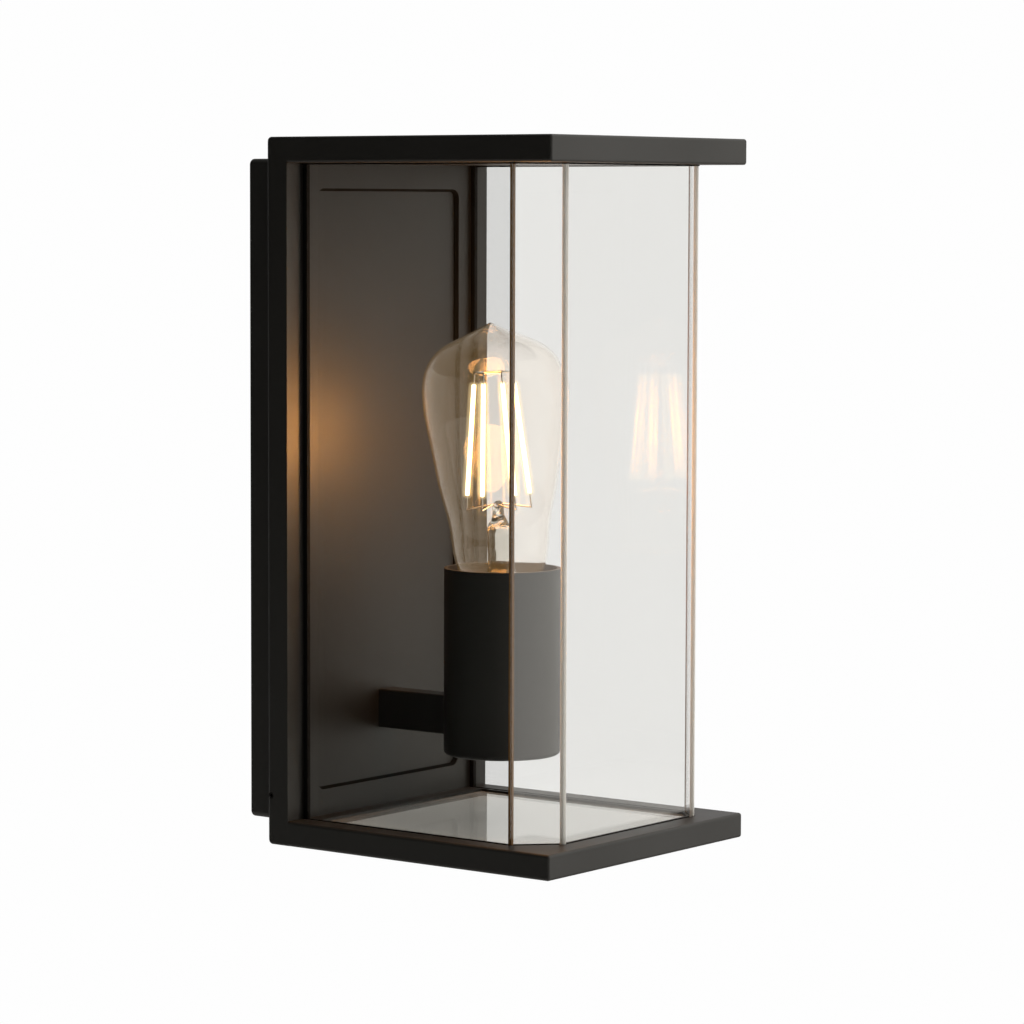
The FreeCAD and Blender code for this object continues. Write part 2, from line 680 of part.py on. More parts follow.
def make_arm_screws():
    inner = S.lamp_out - S.cup_radius + S.cup_wall
    flat = (S.cup_radius - S.cup_wall).value
    sagitta = flat - math.sqrt(flat ** 2 - S.pan_head_radius.value ** 2)
    screws = []
    for side in (-1, 1):
        z = S.arm_middle + side * S.arm_screw_spread
        back = carrier_back + S.panel_rise
        screws.append(pan_head_screw(S.small_screw_radius, S.pan_head_radius, S.pan_head_height,
                                     S.arm_screw_length, 0, back, z, "out"))
        screws.append(pan_head_screw(S.small_screw_radius, S.pan_head_radius, S.pan_head_height,
                                     S.arm_screw_length, 0, inner + sagitta, z, "in"))
    keep(group(*screws), "arm_screws")


def make_cup():
    body = new_body("cup_body")
    inner = S.cup_radius - S.cup_wall
    turn(body, [(dim(0), S.cup_bottom), (S.cup_radius, S.cup_bottom), (S.cup_radius, cup_top),
                (inner, cup_top), (inner, cup_bed), (dim(0), cup_bed)])
    soften(body, S.cup_edge, lambda edge: edge.BoundBox.ZMax < S.cup_bottom.value + 0.01)
    place(body, 0, S.lamp_out, 0)
    back = S.lamp_out - S.cup_radius - 1
    duct = block(-S.duct_width / 2, S.duct_width / 2, back, S.lamp_out, duct_low, duct_high)
    tools = [duct]
    for side in (-1, 1):
        z = S.arm_middle + side * S.arm_screw_spread
        tools.append(rod(S.small_screw_radius + S.clear_gap, S.cup_radius, 0, back, z, "out"))
        x = side * S.pillar_x
        tools.append(rod(S.small_screw_radius + S.clear_gap, S.cup_floor, x, S.lamp_out, S.cup_bottom))
        tools.append(cone(S.small_head_radius + S.clear_gap, S.small_screw_radius + S.clear_gap,
                          S.small_head_radius - S.small_screw_radius, x, S.lamp_out, S.cup_bottom))
    keep(cut(body, *tools), "lamp_cup")


def make_pillars():
    pillars = []
    low_screws = []
    high_screws = []
    for side in (-1, 1):
        x = side * S.pillar_x
        tall = S.holder_bottom - cup_bed
        post = hexagon(S.pillar_radius, tall, x, S.lamp_out, cup_bed)
        bore = rod(S.small_screw_radius + S.thread_gap, tall, x, S.lamp_out, cup_bed)
        pillars.append(cut(post, bore))
        low_screws.append(flat_head_screw(S.small_screw_radius, S.small_head_radius,
                                          S.liner_screw_length + S.cup_floor, x, S.lamp_out,
                                          S.cup_bottom, "up"))
        seat = S.socket_floor - S.head_pocket
        high_screws.append(pan_head_screw(S.small_screw_radius, S.pan_head_radius, S.pan_head_height,
                                          seat - S.holder_bottom + S.pillar_screw_run, x, S.lamp_out,
                                          seat, "down"))
    keep(group(*pillars), "holder_pillars")
    keep(group(*low_screws), "cup_screws")
    keep(group(*high_screws), "holder_screws")


# ---- lampholder ----

contact_top = S.lamp_bottom - S.contact_gap
tail_gap = S.thread_gap


def make_holder_body():
    body = new_body("holder_turned")
    turn(body, [(dim(0), S.holder_bottom), (S.holder_radius, S.holder_bottom),
                (S.holder_radius, S.holder_top), (S.socket_bore, S.holder_top),
                (S.socket_bore, S.socket_floor), (dim(0), S.socket_floor)])
    soften(body, S.holder_edge, lambda edge: edge.BoundBox.ZMin > S.holder_top.value - 0.01
           and edge.BoundBox.XMax > S.socket_bore.value + 1)
    place(body, 0, S.lamp_out, 0)
    tools = []
    for side in (-1, 1):
        x = side * S.pillar_x
        tools.append(rod(S.small_screw_radius + S.clear_gap, S.socket_floor - S.holder_bottom, x,
                         S.lamp_out, S.holder_bottom))
        tools.append(rod(S.pan_head_radius + S.clear_gap, S.head_pocket, x, S.lamp_out,
                         S.socket_floor - S.head_pocket))
    width = S.strip_width / 2 + tail_gap
    thick = S.strip_thick / 2 + tail_gap
    live = S.lamp_out - S.live_reach
    neutral = S.lamp_out + S.shell_radius - S.shell_thick / 2
    for spot in (live, neutral):
        tools.append(block(-width, width, spot - thick, spot + thick, S.holder_bottom,
                           S.shell_bottom + 2))
        tools.append(rod(S.wire_radius + S.clear_gap, S.tail_bottom - S.holder_bottom, 0, spot,
                         S.holder_bottom))
    keep(cut(body, *tools), "lampholder_body")


def make_holder_shell():
    outer = S.shell_radius
    inner = outer - S.shell_thick
    length = S.shell_top - S.shell_bottom
    sleeve = cut(rod(outer, length, 0, S.lamp_out, S.shell_bottom),
                 rod(inner, length, 0, S.lamp_out, S.shell_bottom))
    spot = S.lamp_out + outer - S.shell_thick / 2
    half = S.strip_width / 2
    tail = block(-half, half, spot - S.strip_thick / 2, spot + S.strip_thick / 2, S.tail_bottom,
                 S.shell_bottom + 1)
    keep(join(sleeve, tail), "lampholder_shell")


def make_centre_contact():
    half = S.strip_width / 2
    live = S.lamp_out - S.live_reach
    thick = S.strip_thick
    tongue = block(-half, half, live - thick / 2, S.lamp_out + S.tongue_reach,
                   contact_top - thick, contact_top)
    tail = block(-half, half, live - thick / 2, live + thick / 2, S.tail_bottom, contact_top)
    keep(join(tongue, tail), "centre_contact")


# ---- lamp ----

# The envelope's outline, from the cap up to the tip: shares of the lamp's radius and of the height
# between the cap's rim and the tip.
ENVELOPE = [(0.37, -0.018), (0.38, 0.004), (0.5, 0.042), (0.632, 0.114), (0.691, 0.241), (0.799, 0.368),
            (0.895, 0.517), (0.97, 0.639), (1.0, 0.731), (0.947, 0.8275), (0.743, 0.9037),
            (0.441, 0.9457), (0.171, 0.9781), (0.0, 1.0)]


def leaning():
    """The placement that leans the glass over on its cap, about the middle of the cap's rim."""
    heading = math.radians(S.lean_heading.value)
    axis = Vector(-math.sin(heading), math.cos(heading), 0)
    pivot = Vector(0, 0, S.cap_top.value)
    lean = Rotation(axis, S.lamp_lean.value)
    spot = Vector(0, -S.lamp_out.value, 0) + pivot - lean.multVec(pivot)
    return Placement(spot, lean)


def make_bulb_glass():
    rise = S.lamp_top.value - S.cap_top.value
    wall = S.lamp_wall.value
    outer = [Vector(r * S.lamp_radius.value, 0, S.cap_top.value + share * rise) for r, share in ENVELOPE]
    inner = [Vector(max(point.x - wall, 0), 0, point.z) for point in outer]
    inner[-1].z -= 2 * wall
    inner[-2].z -= wall
    curves = []
    for points in (outer, inner):
        curve = Part.BSplineCurve()
        curve.interpolate(points)
        curves.append(curve.toShape())
    edges = [curves[0], curves[1], Part.makeLine(outer[0], inner[0]), Part.makeLine(outer[-1], inner[-1])]
    face = Part.Face(Part.Wire(Part.__sortEdges__(edges)))
    glass = face.revolve(Vector(0, 0, 0), Vector(0, 0, 1), 360)
    keep_shape(glass, "bulb_glass", leaning())


def make_bulb_stem():
    """The glass tube inside the lamp, flared at its foot and pinched flat round the wires at its top."""
    foot = S.cap_top.value + 1
    radius = S.stem_radius.value
    inner = radius - S.stem_wall.value
    top = S.stem_top.value
    flare = S.cap_inner.value * S.stem_flare.value
    rise = S.stem_flare_rise.value
    shoulder = S.stem_shoulder.value
    thick = S.pinch_thick.value
    outline = [Vector(inner + 1, 0, foot), Vector(flare, 0, foot), Vector(flare, 0, foot + 1),
               Vector(radius, 0, foot + rise), Vector(radius, 0, top),
               Vector(S.pinch_radius.value, 0, top + shoulder), Vector(0, 0, top + shoulder),
               Vector(0, 0, top), Vector(inner, 0, top), Vector(inner, 0, foot + rise - 1)]
    tube = Part.Face(Part.makePolygon(outline + outline[:1])).revolve(Vector(), Vector(0, 0, 1), 360)
    reach = S.pinch_radius.value
    pinch = Part.makeBox(2 * reach, thick, S.pinch_top.value - top - shoulder + 1,
                         Vector(-reach, -thick / 2, top + shoulder - 1))
    keep_shape(tube.fuse(pinch), "bulb_stem", leaning())


def filament_angles():
    count = int(S.filaments.value)
    return [math.radians(S.first_filament.value + 360 / count * i) for i in range(count)]


def round_point(radius, angle, height):
    return Vector(radius * math.cos(angle), radius * math.sin(angle), height)


def bar(radius, start, end):
    return Part.makeCylinder(radius, (end - start).Length, start, end - start)


def make_filaments():
    sticks = []
    for angle in filament_angles():
        low = round_point(S.filament_foot.value, angle, S.filament_low.value)
        high = round_point(S.filament_head.value, angle, S.filament_high.value)
        sticks.append(bar(S.filament_radius.value, low, high))
    keep_shape(Part.makeCompound(sticks), "bulb_filaments", leaning())


def make_filament_wires():
    """The bare wires from the stem to each filament's foot, and the crown that joins their tops."""
    radius = S.lead_radius.value
    angles = filament_angles()
    top = S.pinch_top.value
    wires = []
    for angle, following in zip(angles, angles[1:] + angles[:1]):
        low = round_point(S.filament_foot.value, angle, S.filament_low.value)
        high = round_point(S.filament_head.value, angle, S.filament_high.value)
        foot = round_point(S.filament_foot.value + 0.5, angle, S.foot_height.value)
        crown = round_point(S.filament_head.value - 0.5, angle, S.crown_height.value)
        beside = round_point(S.filament_head.value - 0.5, following, S.crown_height.value)
        centre = Vector(S.pinch_radius.value * 0.8 * math.cos(angle), 0, top - 1)
        knots = [Part.makeSphere(radius, foot), Part.makeSphere(radius, crown)]
        parts = [bar(radius, low, foot), bar(radius, foot, centre), bar(radius, high, crown),
                 bar(radius, crown, beside)]
        wires.extend(parts + knots)
    solid = wires[0].multiFuse(wires[1:])
    stem = [node for node in nodes if node.Label == "bulb_stem"][0].Shape.copy()
    stem.Placement = Placement()
    keep_shape(solid.cut(stem), "filament_wires", leaning())


def make_cap():
    length = S.cap_top - S.cap_skirt
    sleeve = rod(S.cap_radius, length, 0, S.lamp_out, S.cap_skirt)
    tools = [rod(S.cap_inner, length, 0, S.lamp_out, S.cap_skirt)]
    for i in range(int(S.thread_turns.value)):
        ring = doc.addObject("Part::Torus", "thread_root")
        bind(ring, "Radius1", S.cap_radius + S.thread_depth / 2)
        bind(ring, "Radius2", S.thread_depth)
        tools.append(place(ring, 0, S.lamp_out, S.cap_skirt + S.thread_pitch * (i + 0.8)))
    keep(cut(sleeve, *tools), "bulb_cap")


def make_cap_insulator():
    button_top = S.lamp_bottom + S.button_height
    body = cone(S.button_radius + S.insulator_lip, S.cap_inner, S.cap_skirt - button_top, 0, S.lamp_out,
                button_top)
    plug = rod(S.cap_inner, S.insulator_plug, 0, S.lamp_out, S.cap_skirt)
    keep(join(body, plug), "cap_insulator")


def make_cap_contact():
    button = rod(S.button_radius, S.button_height, 0, S.lamp_out, S.lamp_bottom)
    keep(rounded(button, S.button_edge, lambda edge: edge.BoundBox.ZMax < S.lamp_bottom.value + 0.01),
         "cap_contact")


def make_driver_board():
    half = S.board_width / 2
    low = S.cap_skirt + S.insulator_plug
    keep(block(-half, half, S.lamp_out - S.board_thick / 2, S.lamp_out + S.board_thick / 2, low,
               S.cap_top - 2), "driver_board")


# ---- cage: frame plate ----

collar_inner = box_half + S.slide_gap
collar_high = box_high + S.slide_gap
frame_screw_z = half_height - S.skirt_thick - S.frame_head_radius - S.clear_gap


def make_frame_plate():
    body = new_body("frame_body")
    grow(body, profile(body, "XZ_Plane", S.box_depth, [rect(half_width, half_height)]), S.frame_depth)
    soften(body, S.frame_edge, lambda edge: runs(edge, "y"))
    soften(body, S.skirt_rear_edge, lambda edge: edge.BoundBox.YMin > -S.box_depth.value - 1e-6)
    hole = rect(collar_inner, collar_high)
    sink(body, profile(body, "XZ_Plane", S.box_depth, [hole]), S.frame_depth - S.face_thick, ahead=True)
    channel = [rect(half_width - S.skirt_thick, half_height - S.skirt_thick),
               rect(collar_inner + S.collar_thick, collar_high + S.collar_thick)]
    sink(body, profile(body, "XZ_Plane", S.box_depth, channel), S.frame_depth - S.face_thick, ahead=True)
    collar = [channel[1], hole]
    sink(body, profile(body, "XZ_Plane", S.box_depth, collar), S.collar_setback, ahead=True)
    sink(body, profile(body, "XZ_Plane", frame_face, [rect(window_half, window_high)]), S.face_thick)
    soften(body, S.window_corner,
           lambda edge: runs(edge, "y") and abs(abs(mid(edge).x) - window_half.value) < 0.01)
    for sx in (-1, 1):
        for sz in (-1, 1):
            x = sx * S.frame_screw_x
            pad = box_loop(x - S.frame_boss_half, x + S.frame_boss_half, sz * collar_high,
                           sz * (half_height - S.skirt_thick / 2))
            grow(body, profile(body, "XZ_Plane", face_back, [pad]), S.frame_boss_depth, back=True)
        side = box_loop(sx * collar_inner, sx * (half_width - S.skirt_thick / 2),
                        S.side_screw_height - S.side_boss_half, S.side_screw_height + S.side_boss_half)
        grow(body, profile(body, "XZ_Plane", face_back, [side]),
             face_back - S.box_depth - S.collar_setback / 2, back=True)
    tools = []
    for sx in (-1, 1):
        for sz in (-1, 1):
            x, z = sx * S.frame_screw_x, sz * frame_screw_z
            seat = frame_face - S.frame_boss_web
            tools.append(rod(S.frame_screw_radius + S.thread_gap, S.frame_boss_web, x, seat, z, "out"))
            tools.append(rod(S.frame_head_radius + S.clear_gap / 2, S.frame_boss_depth, x,
                             seat - S.frame_boss_depth, z, "out"))
        start = sx * (collar_inner - 1)
        tools.append(rod(S.side_screw_radius + S.thread_gap, S.box_inset + 1, start, S.side_screw_out,
                         S.side_screw_height, "right" if sx > 0 else "left"))
    keep(cut(body, *tools), "frame_plate")


def make_frame_gasket():
    body = new_body("frame_gasket")
    outer = rect(box_half - 1, box_high - 1)
    gap = S.panel_overlap + S.gasket_gap
    inner = rect(window_half + gap, window_high + gap)
    grow(body, profile(body, "XZ_Plane", carrier_face + S.gasket_gap, [outer, inner]),
         face_back - carrier_face - S.gasket_gap)
    keep(body, "frame_gasket")


def make_frame_screws():
    seat = frame_face - S.frame_boss_web
    screws = [pan_head_screw(S.frame_screw_radius, S.frame_head_radius, S.frame_head_height,
                             S.frame_screw_length, sx * S.frame_screw_x, seat, sz * frame_screw_z, "out")
              for sx in (-1, 1) for sz in (-1, 1)]
    keep(group(*screws), "frame_screws")


def make_side_screws():
    outer = half_width - S.side_screw_sink
    inner = outer - S.side_screw_length
    for name, side, way, back in (("left", -1, "left", "right"), ("right", 1, "right", "left")):
        screw = rod(S.side_screw_radius, S.side_screw_length, side * inner, S.side_screw_out,
                    S.side_screw_height, way)
        socket = hexagon(S.hex_reach, S.hex_depth, side * outer, S.side_screw_out, S.side_screw_height,
                         back)
        keep(cut(screw, socket), "side_screw_" + name)
        keep(rod(S.tip_radius, S.tip_length, side * inner, S.side_screw_out, S.side_screw_height, back),
             "side_screw_tip_" + name)


# ---- cage: lid, base and glass ----

MITRE = 2 - math.sqrt(2)


def glass_path(step):
    """The glass box's outline in plan, moved inward by a step: rear left round to rear right."""
    half = half_width - S.glass_side_inset - step
    front = hood_front - S.glass_front_inset - step
    left = S.left_corner_leg - MITRE * dim(step)
    right = S.right_corner_leg - MITRE * dim(step)
    return [(-half, frame_face), (-half, front - left), (left - half, front),
            (half - right, front), (half, front - right), (half, frame_face)]


def horseshoe(step_out, step_in):
    return glass_path(step_out) + glass_path(step_in)[::-1]


def make_lid():
    body = new_body("lid_body")
    outline = box_loop(-half_width, half_width, frame_face, hood_front)
    grow(body, profile(body, "XY_Plane", lid_bottom, [outline]), S.lid_thick)
    front = -hood_front.value
    soften(body, S.hood_edge,
           lambda edge: (runs(edge, "z") and mid(edge).y < front + 1)
           or (runs(edge, "x") and mid(edge).y < front + 1) or runs(edge, "y"))
    wall = S.lid_wall
    hollow = box_loop(wall - half_width, half_width - wall, frame_face + wall, hood_front - wall)
    sink(body, profile(body, "XY_Plane", lid_bottom, [hollow]), S.lid_thick - S.lid_top, ahead=True)
    groove = horseshoe(-S.groove_gap, S.glass_thick + S.groove_gap)
    sink(body, profile(body, "XY_Plane", lid_bottom, [groove]), S.liner_groove, ahead=True)
    for sx in (-1, 1):
        x = sx * S.frame_screw_x
        anchor = box_loop(x - S.frame_boss_half, x + S.frame_boss_half, frame_face + wall / 2,
                          frame_face + S.frame_screw_length)
        grow(body, profile(body, "XY_Plane", lid_bottom + S.liner_thick + S.clear_gap, [anchor]),
             S.lid_thick - S.liner_thick - S.clear_gap)
    posts = [(x, out, S.liner_post_radius) for x, out in liner_spots()]
    grow(body, profile(body, "XY_Plane", lid_bottom + S.liner_thick, [], posts),
         S.lid_thick - S.liner_thick - S.lid_top / 2)
    holes = [(x, out, S.small_screw_radius + S.thread_gap) for x, out in liner_spots()]
    sink(body, profile(body, "XY_Plane", lid_bottom + S.liner_thick, [], holes),
         S.liner_screw_length - S.liner_thick + S.clear_gap, ahead=True)
    tools = [rod(S.frame_screw_radius + S.thread_gap, S.frame_screw_length, sx * S.frame_screw_x,
                 frame_face - 1, frame_screw_z, "out") for sx in (-1, 1)]
    keep(cut(body, *tools), "lid")


def liner_spots():
    middle = frame_face + S.hood_depth / 2
    return [(sx * S.liner_post_x, middle + sy * S.liner_post_out) for sx in (-1, 1) for sy in (-1, 1)]


def make_lid_liner():
    body = new_body("liner_body")
    edge = S.lid_wall + S.liner_gap
    outline = box_loop(edge - half_width, half_width - edge, frame_face + edge, hood_front - edge)
    grow(body, profile(body, "XY_Plane", lid_bottom, [outline]), S.liner_thick)
    groove = horseshoe(-S.groove_gap, S.glass_thick + S.groove_gap)
    sink(body, profile(body, "XY_Plane", lid_bottom, [groove]), S.liner_groove, ahead=True)
    tools = []
    for x, out in liner_spots():
        tools.append(rod(S.small_screw_radius + S.clear_gap, S.liner_thick, x, out, lid_bottom))
        tools.append(cone(S.small_head_radius + S.clear_gap, S.small_screw_radius + S.clear_gap,
                          S.small_head_radius - S.small_screw_radius, x, out, lid_bottom))
    keep(cut(body, *tools), "lid_liner")
    screws = [flat_head_screw(S.small_screw_radius, S.small_head_radius, S.liner_screw_length, x, out,
                              lid_bottom, "up") for x, out in liner_spots()]
    keep(group(*screws), "liner_screws")


pane_low = base_top - S.base_groove + S.seal_floor
pane_high = lid_bottom + S.liner_groove - S.seal_floor
glass_back = frame_face + S.side_seal_depth


def make_base():
    body = new_body("base_body")
    outline = box_loop(-half_width, half_width, frame_face, hood_front)
    grow(body, profile(body, "XY_Plane", -half_height, [outline]), S.base_thick)
    front = -hood_front.value
    soften(body, S.hood_edge,
           lambda edge: (runs(edge, "z") and mid(edge).y < front + 1)
           or (runs(edge, "x") and mid(edge).y < front + 1) or runs(edge, "y"))
    opening = base_opening(S.glass_thick + S.pane_lip, S.opening_rear)
    ledge = base_opening(S.glass_thick + S.pane_lip + S.pane_ledge, S.opening_rear + S.pane_ledge)
    deep = S.pane_drop + S.pane_thick + S.pane_seal
    sink(body, profile(body, "XY_Plane", base_top, [opening]), deep)
    sink(body, profile(body, "XY_Plane", base_top, [ledge]), S.base_thick + S.clear_gap)
    groove = horseshoe(-S.groove_gap, S.glass_thick + S.groove_gap)
    sink(body, profile(body, "XY_Plane", base_top, [groove]), S.base_groove)
    tools = [rod(S.frame_screw_radius + S.thread_gap, S.frame_screw_length, sx * S.frame_screw_x,
                 frame_face - 1, -frame_screw_z, "out") for sx in (-1, 1)]
    keep(cut(body, *tools), "base_frame")


def base_opening(step, rear):
    """The base's opening in plan: the glass outline moved inward, closed across the rear."""
    path = glass_path(step)
    return [(path[0][0], frame_face + rear)] + path[1:-1] + [(path[-1][0], frame_face + rear)]


def make_base_pane():
    body = new_body("base_pane")
    step = S.glass_thick + S.pane_lip + S.pane_gap
    outline = base_opening(step, S.opening_rear + S.pane_gap)
    low = base_top - S.pane_drop - S.pane_thick
    grow(body, profile(body, "XY_Plane", low, [outline]), S.pane_thick)
    keep(body, "base_pane")
    seal = new_body("pane_seal")
    inner = base_opening(step + S.pane_ledge - 2 * S.pane_gap,
                         S.opening_rear + S.pane_ledge - S.pane_gap)
    grow(seal, profile(seal, "XY_Plane", low - S.pane_seal, [outline, inner]), S.pane_seal)
    keep(seal, "pane_seal")


def make_glass():
    outer = glass_path(0)
    inner = glass_path(S.glass_thick)
    names = ["pane_left", "pane_corner_left", "pane_front", "pane_corner_right", "pane_right"]
    for i, name in enumerate(names):
        loop = [outer[i], outer[i + 1], inner[i + 1], inner[i]]
        if i == 0:
            loop = [(loop[0][0], glass_back), trim(outer[0], outer[1]), trim(inner[0], inner[1]),
                    (loop[3][0], glass_back)]
        elif i == 4:
            loop = [trim(outer[5], outer[4]), (outer[5][0], glass_back), (inner[5][0], glass_back),
                    trim(inner[5], inner[4])]
        else:
            loop = [trim(outer[i + 1], outer[i]), trim(outer[i], outer[i + 1]),
                    trim(inner[i], inner[i + 1]), trim(inner[i + 1], inner[i])]
        body = new_body(name)
        grow(body, profile(body, "XY_Plane", pane_low, [loop]), pane_high - pane_low)
        keep(body, name)


def trim(start, end):
    """The end of a pane, drawn back along the pane by half of the bonded joint."""
    run = math.hypot(float(end[0]) - float(start[0]), float(end[1]) - float(start[1]))
    along = ((float(end[0]) - float(start[0])) / run, (float(end[1]) - float(start[1])) / run)
    return (end[0] - S.bond_gap * along[0], end[1] - S.bond_gap * along[1])


def make_seals():
    low = new_body("glass_seal_bottom")
    shape = horseshoe(-S.groove_gap, S.glass_thick + S.groove_gap)
    grow(low, profile(low, "XY_Plane", base_top - S.base_groove, [shape]), S.base_groove)
    sink(low, profile(low, "XY_Plane", base_top, [horseshoe(0, S.glass_thick)]),
         S.base_groove - S.seal_floor)
    keep(low, "glass_seal_bottom")
    high = new_body("glass_seal_top")
    bottom = lid_bottom - S.seal_band
    grow(high, profile(high, "XY_Plane", bottom, [shape]), S.seal_band + S.liner_groove)
    sink(high, profile(high, "XY_Plane", bottom, [horseshoe(0, S.glass_thick)]),
         S.seal_band + S.liner_groove - S.seal_floor, ahead=True)
    keep(high, "glass_seal_top")
    middle = half_width - S.glass_side_inset - S.glass_thick / 2
    half = S.side_seal_width / 2
    strips = [block(side * middle - half, side * middle + half, frame_face, glass_back, base_top,
                    lid_bottom - S.seal_band) for side in (-1, 1)]
    keep(group(*strips), "side_seals")


make_rear_box()
make_wall_gasket()
make_grommet()
make_box_gasket()
make_carrier_plate()
make_carrier_screws()
make_terminal_block()
make_terminal_clamps()
make_terminal_screws()
make_block_screws()
make_earth_stud()
make_wires()
make_arm()
make_arm_screws()
make_cup()
make_pillars()
make_holder_body()
make_holder_shell()
make_centre_contact()
make_bulb_glass()
make_bulb_stem()
make_filaments()
make_filament_wires()
make_cap()
make_cap_insulator()
make_cap_contact()
make_driver_board()
make_frame_plate()
make_frame_gasket()
make_frame_screws()
make_side_screws()
make_lid()
make_lid_liner()
make_base()
make_base_pane()
make_glass()
make_seals()

# ---- check and write ----

doc.recompute()
for thing in doc.Objects:
    if "Invalid" in thing.State or "Error" in thing.State:
        raise RuntimeError("%s (%s) failed: %s" % (thing.Name, thing.Label, thing.State))
for node in nodes:
    if node.Shape.isNull() or not node.Shape.isValid() or not node.Shape.Solids:
        raise RuntimeError("%s has no valid solid" % node.Label)

os.makedirs("parts", exist_ok=True)
for node in nodes:
    node.Shape.exportStep("parts/%s.step" % node.Label)
print("%d sub-parts written" % len(nodes))
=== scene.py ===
import math

import bmesh
import bpy
import numpy as np
from mathutils import Matrix, Vector


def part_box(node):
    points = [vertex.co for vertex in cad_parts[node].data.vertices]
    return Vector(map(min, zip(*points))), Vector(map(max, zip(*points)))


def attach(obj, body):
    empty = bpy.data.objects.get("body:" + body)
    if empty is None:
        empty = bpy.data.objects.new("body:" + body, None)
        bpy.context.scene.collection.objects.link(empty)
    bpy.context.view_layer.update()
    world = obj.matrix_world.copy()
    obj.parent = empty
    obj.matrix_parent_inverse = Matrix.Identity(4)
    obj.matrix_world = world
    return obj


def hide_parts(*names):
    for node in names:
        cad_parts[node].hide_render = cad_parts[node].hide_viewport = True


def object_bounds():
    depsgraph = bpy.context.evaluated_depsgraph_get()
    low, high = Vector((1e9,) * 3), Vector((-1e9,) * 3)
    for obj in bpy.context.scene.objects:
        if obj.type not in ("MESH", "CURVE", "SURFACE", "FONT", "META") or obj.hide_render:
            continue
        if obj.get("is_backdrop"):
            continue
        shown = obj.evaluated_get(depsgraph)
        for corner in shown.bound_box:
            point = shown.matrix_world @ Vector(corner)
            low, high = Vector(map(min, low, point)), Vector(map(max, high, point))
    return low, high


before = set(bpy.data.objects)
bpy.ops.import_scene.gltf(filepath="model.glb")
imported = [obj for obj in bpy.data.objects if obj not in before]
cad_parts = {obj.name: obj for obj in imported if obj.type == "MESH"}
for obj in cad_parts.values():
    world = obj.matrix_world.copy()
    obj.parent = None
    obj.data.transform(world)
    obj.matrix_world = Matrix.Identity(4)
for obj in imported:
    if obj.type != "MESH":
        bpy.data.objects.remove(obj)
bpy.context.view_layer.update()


# ---- studio ----
# A long lens stands to the lantern's left, at the height of the lid. A broad soft box stands
# to the right and in front, a faint one overhead, a narrow strip behind the lens, and a white
# card at the rear. A round pale floor lies well below.
scene = bpy.context.scene
scene.view_settings.view_transform = "Standard"

CAMERA_PLACE = Vector((-1.29788, -1.07996, 0.12252))
CAMERA_HEADING, CAMERA_DIP, CAMERA_ROLL = 52.802, 4.599, 0.177
FOCAL_LENGTH, SENSOR = 135.0, 36
NEAREST, FARTHEST = 0.05, 60

lens = bpy.data.cameras.new("studio_camera")
lens.sensor_width, lens.lens = SENSOR, FOCAL_LENGTH
lens.clip_start, lens.clip_end = NEAREST, FARTHEST
camera = bpy.data.objects.new("studio_camera", lens)
scene.collection.objects.link(camera)
heading = Matrix.Rotation(math.radians(-CAMERA_HEADING), 4, "Z")
tilt = Matrix.Rotation(math.radians(90 - CAMERA_DIP), 4, "X")
roll = Matrix.Rotation(math.radians(CAMERA_ROLL), 4, "Z")
camera.matrix_world = Matrix.Translation(CAMERA_PLACE) @ heading @ tilt @ roll
scene.camera = camera


def feed(tree, socket, value):
    """Give a node's input a plain value, or link it to another node's output."""
    if isinstance(value, bpy.types.NodeSocket):
        tree.links.new(value, socket)
    else:
        socket.default_value = value


def add_node(tree, kind, settings=None, values=(), **inputs):
    """Add a node with its settings, and feed its inputs in their order or by name."""
    node = tree.nodes.new(kind)
    for name, value in (settings or {}).items():
        setattr(node, name, value)
    for socket, value in zip(node.inputs, values):
        feed(tree, socket, value)
    for name, value in inputs.items():
        feed(tree, node.inputs[name.replace("_", " ")], value)
    return node


def calculate(tree, operation, *values):
    """The output of a Math node on numbers or other nodes' outputs."""
    return add_node(tree, "ShaderNodeMath", {"operation": operation}, values).outputs[0]


BACKDROP = (0.99, 0.99, 0.99, 1)
SOFT_LIGHT = (1.0, 0.97, 0.91, 1)
DARK_SIDE = 0.006

# Each source has the direction that it stands in, the cosines of the angles from there at
# which it starts and is full, and its strength.
SOFT_BOX = {"aim": (0.83, -0.55, 0.1), "start": 0.1, "full": 0.85, "strength": 1.25}
OVERHEAD = {"aim": (0, 0, 1), "start": 0.3, "full": 1.0, "strength": 0.3}
STRIP = {"aim": (-0.601, -0.795, -0.08), "start": 0.989, "full": 0.993, "strength": 1.7}
CARD = {"aim": (0.797, 0.604, 0.0), "start": 0.72, "full": 0.9, "strength": 1.0}

world = bpy.data.worlds.new("studio_light")
scene.world = world
world.use_nodes = True
sky = world.node_tree
sky.nodes.clear()
towards = add_node(sky, "ShaderNodeTexCoord").outputs["Generated"]


def soft_source(aim, start, full, strength):
    """How bright the studio is towards one source, fading out to its edge."""
    match = add_node(sky, "ShaderNodeVectorMath", {"operation": "DOT_PRODUCT"}, (towards, aim))
    fade = add_node(sky, "ShaderNodeMapRange", {"interpolation_type": "SMOOTHSTEP"},
                    Value=match.outputs["Value"], From_Min=start, From_Max=full,
                    To_Min=0.0, To_Max=strength)
    return fade.outputs[0]


brightness = DARK_SIDE
for source in (SOFT_BOX, OVERHEAD, STRIP):
    brightness = calculate(sky, "ADD", brightness, soft_source(**source))
light = add_node(sky, "ShaderNodeBackground", Color=SOFT_LIGHT, Strength=brightness)
backdrop = add_node(sky, "ShaderNodeBackground", Color=BACKDROP)
path = add_node(sky, "ShaderNodeLightPath")
seen = calculate(sky, "MAXIMUM", path.outputs["Is Camera Ray"], soft_source(**CARD))
either = add_node(sky, "ShaderNodeMixShader", None, (seen, light.outputs[0], backdrop.outputs[0]))
add_node(sky, "ShaderNodeOutputWorld", Surface=either.outputs[0])


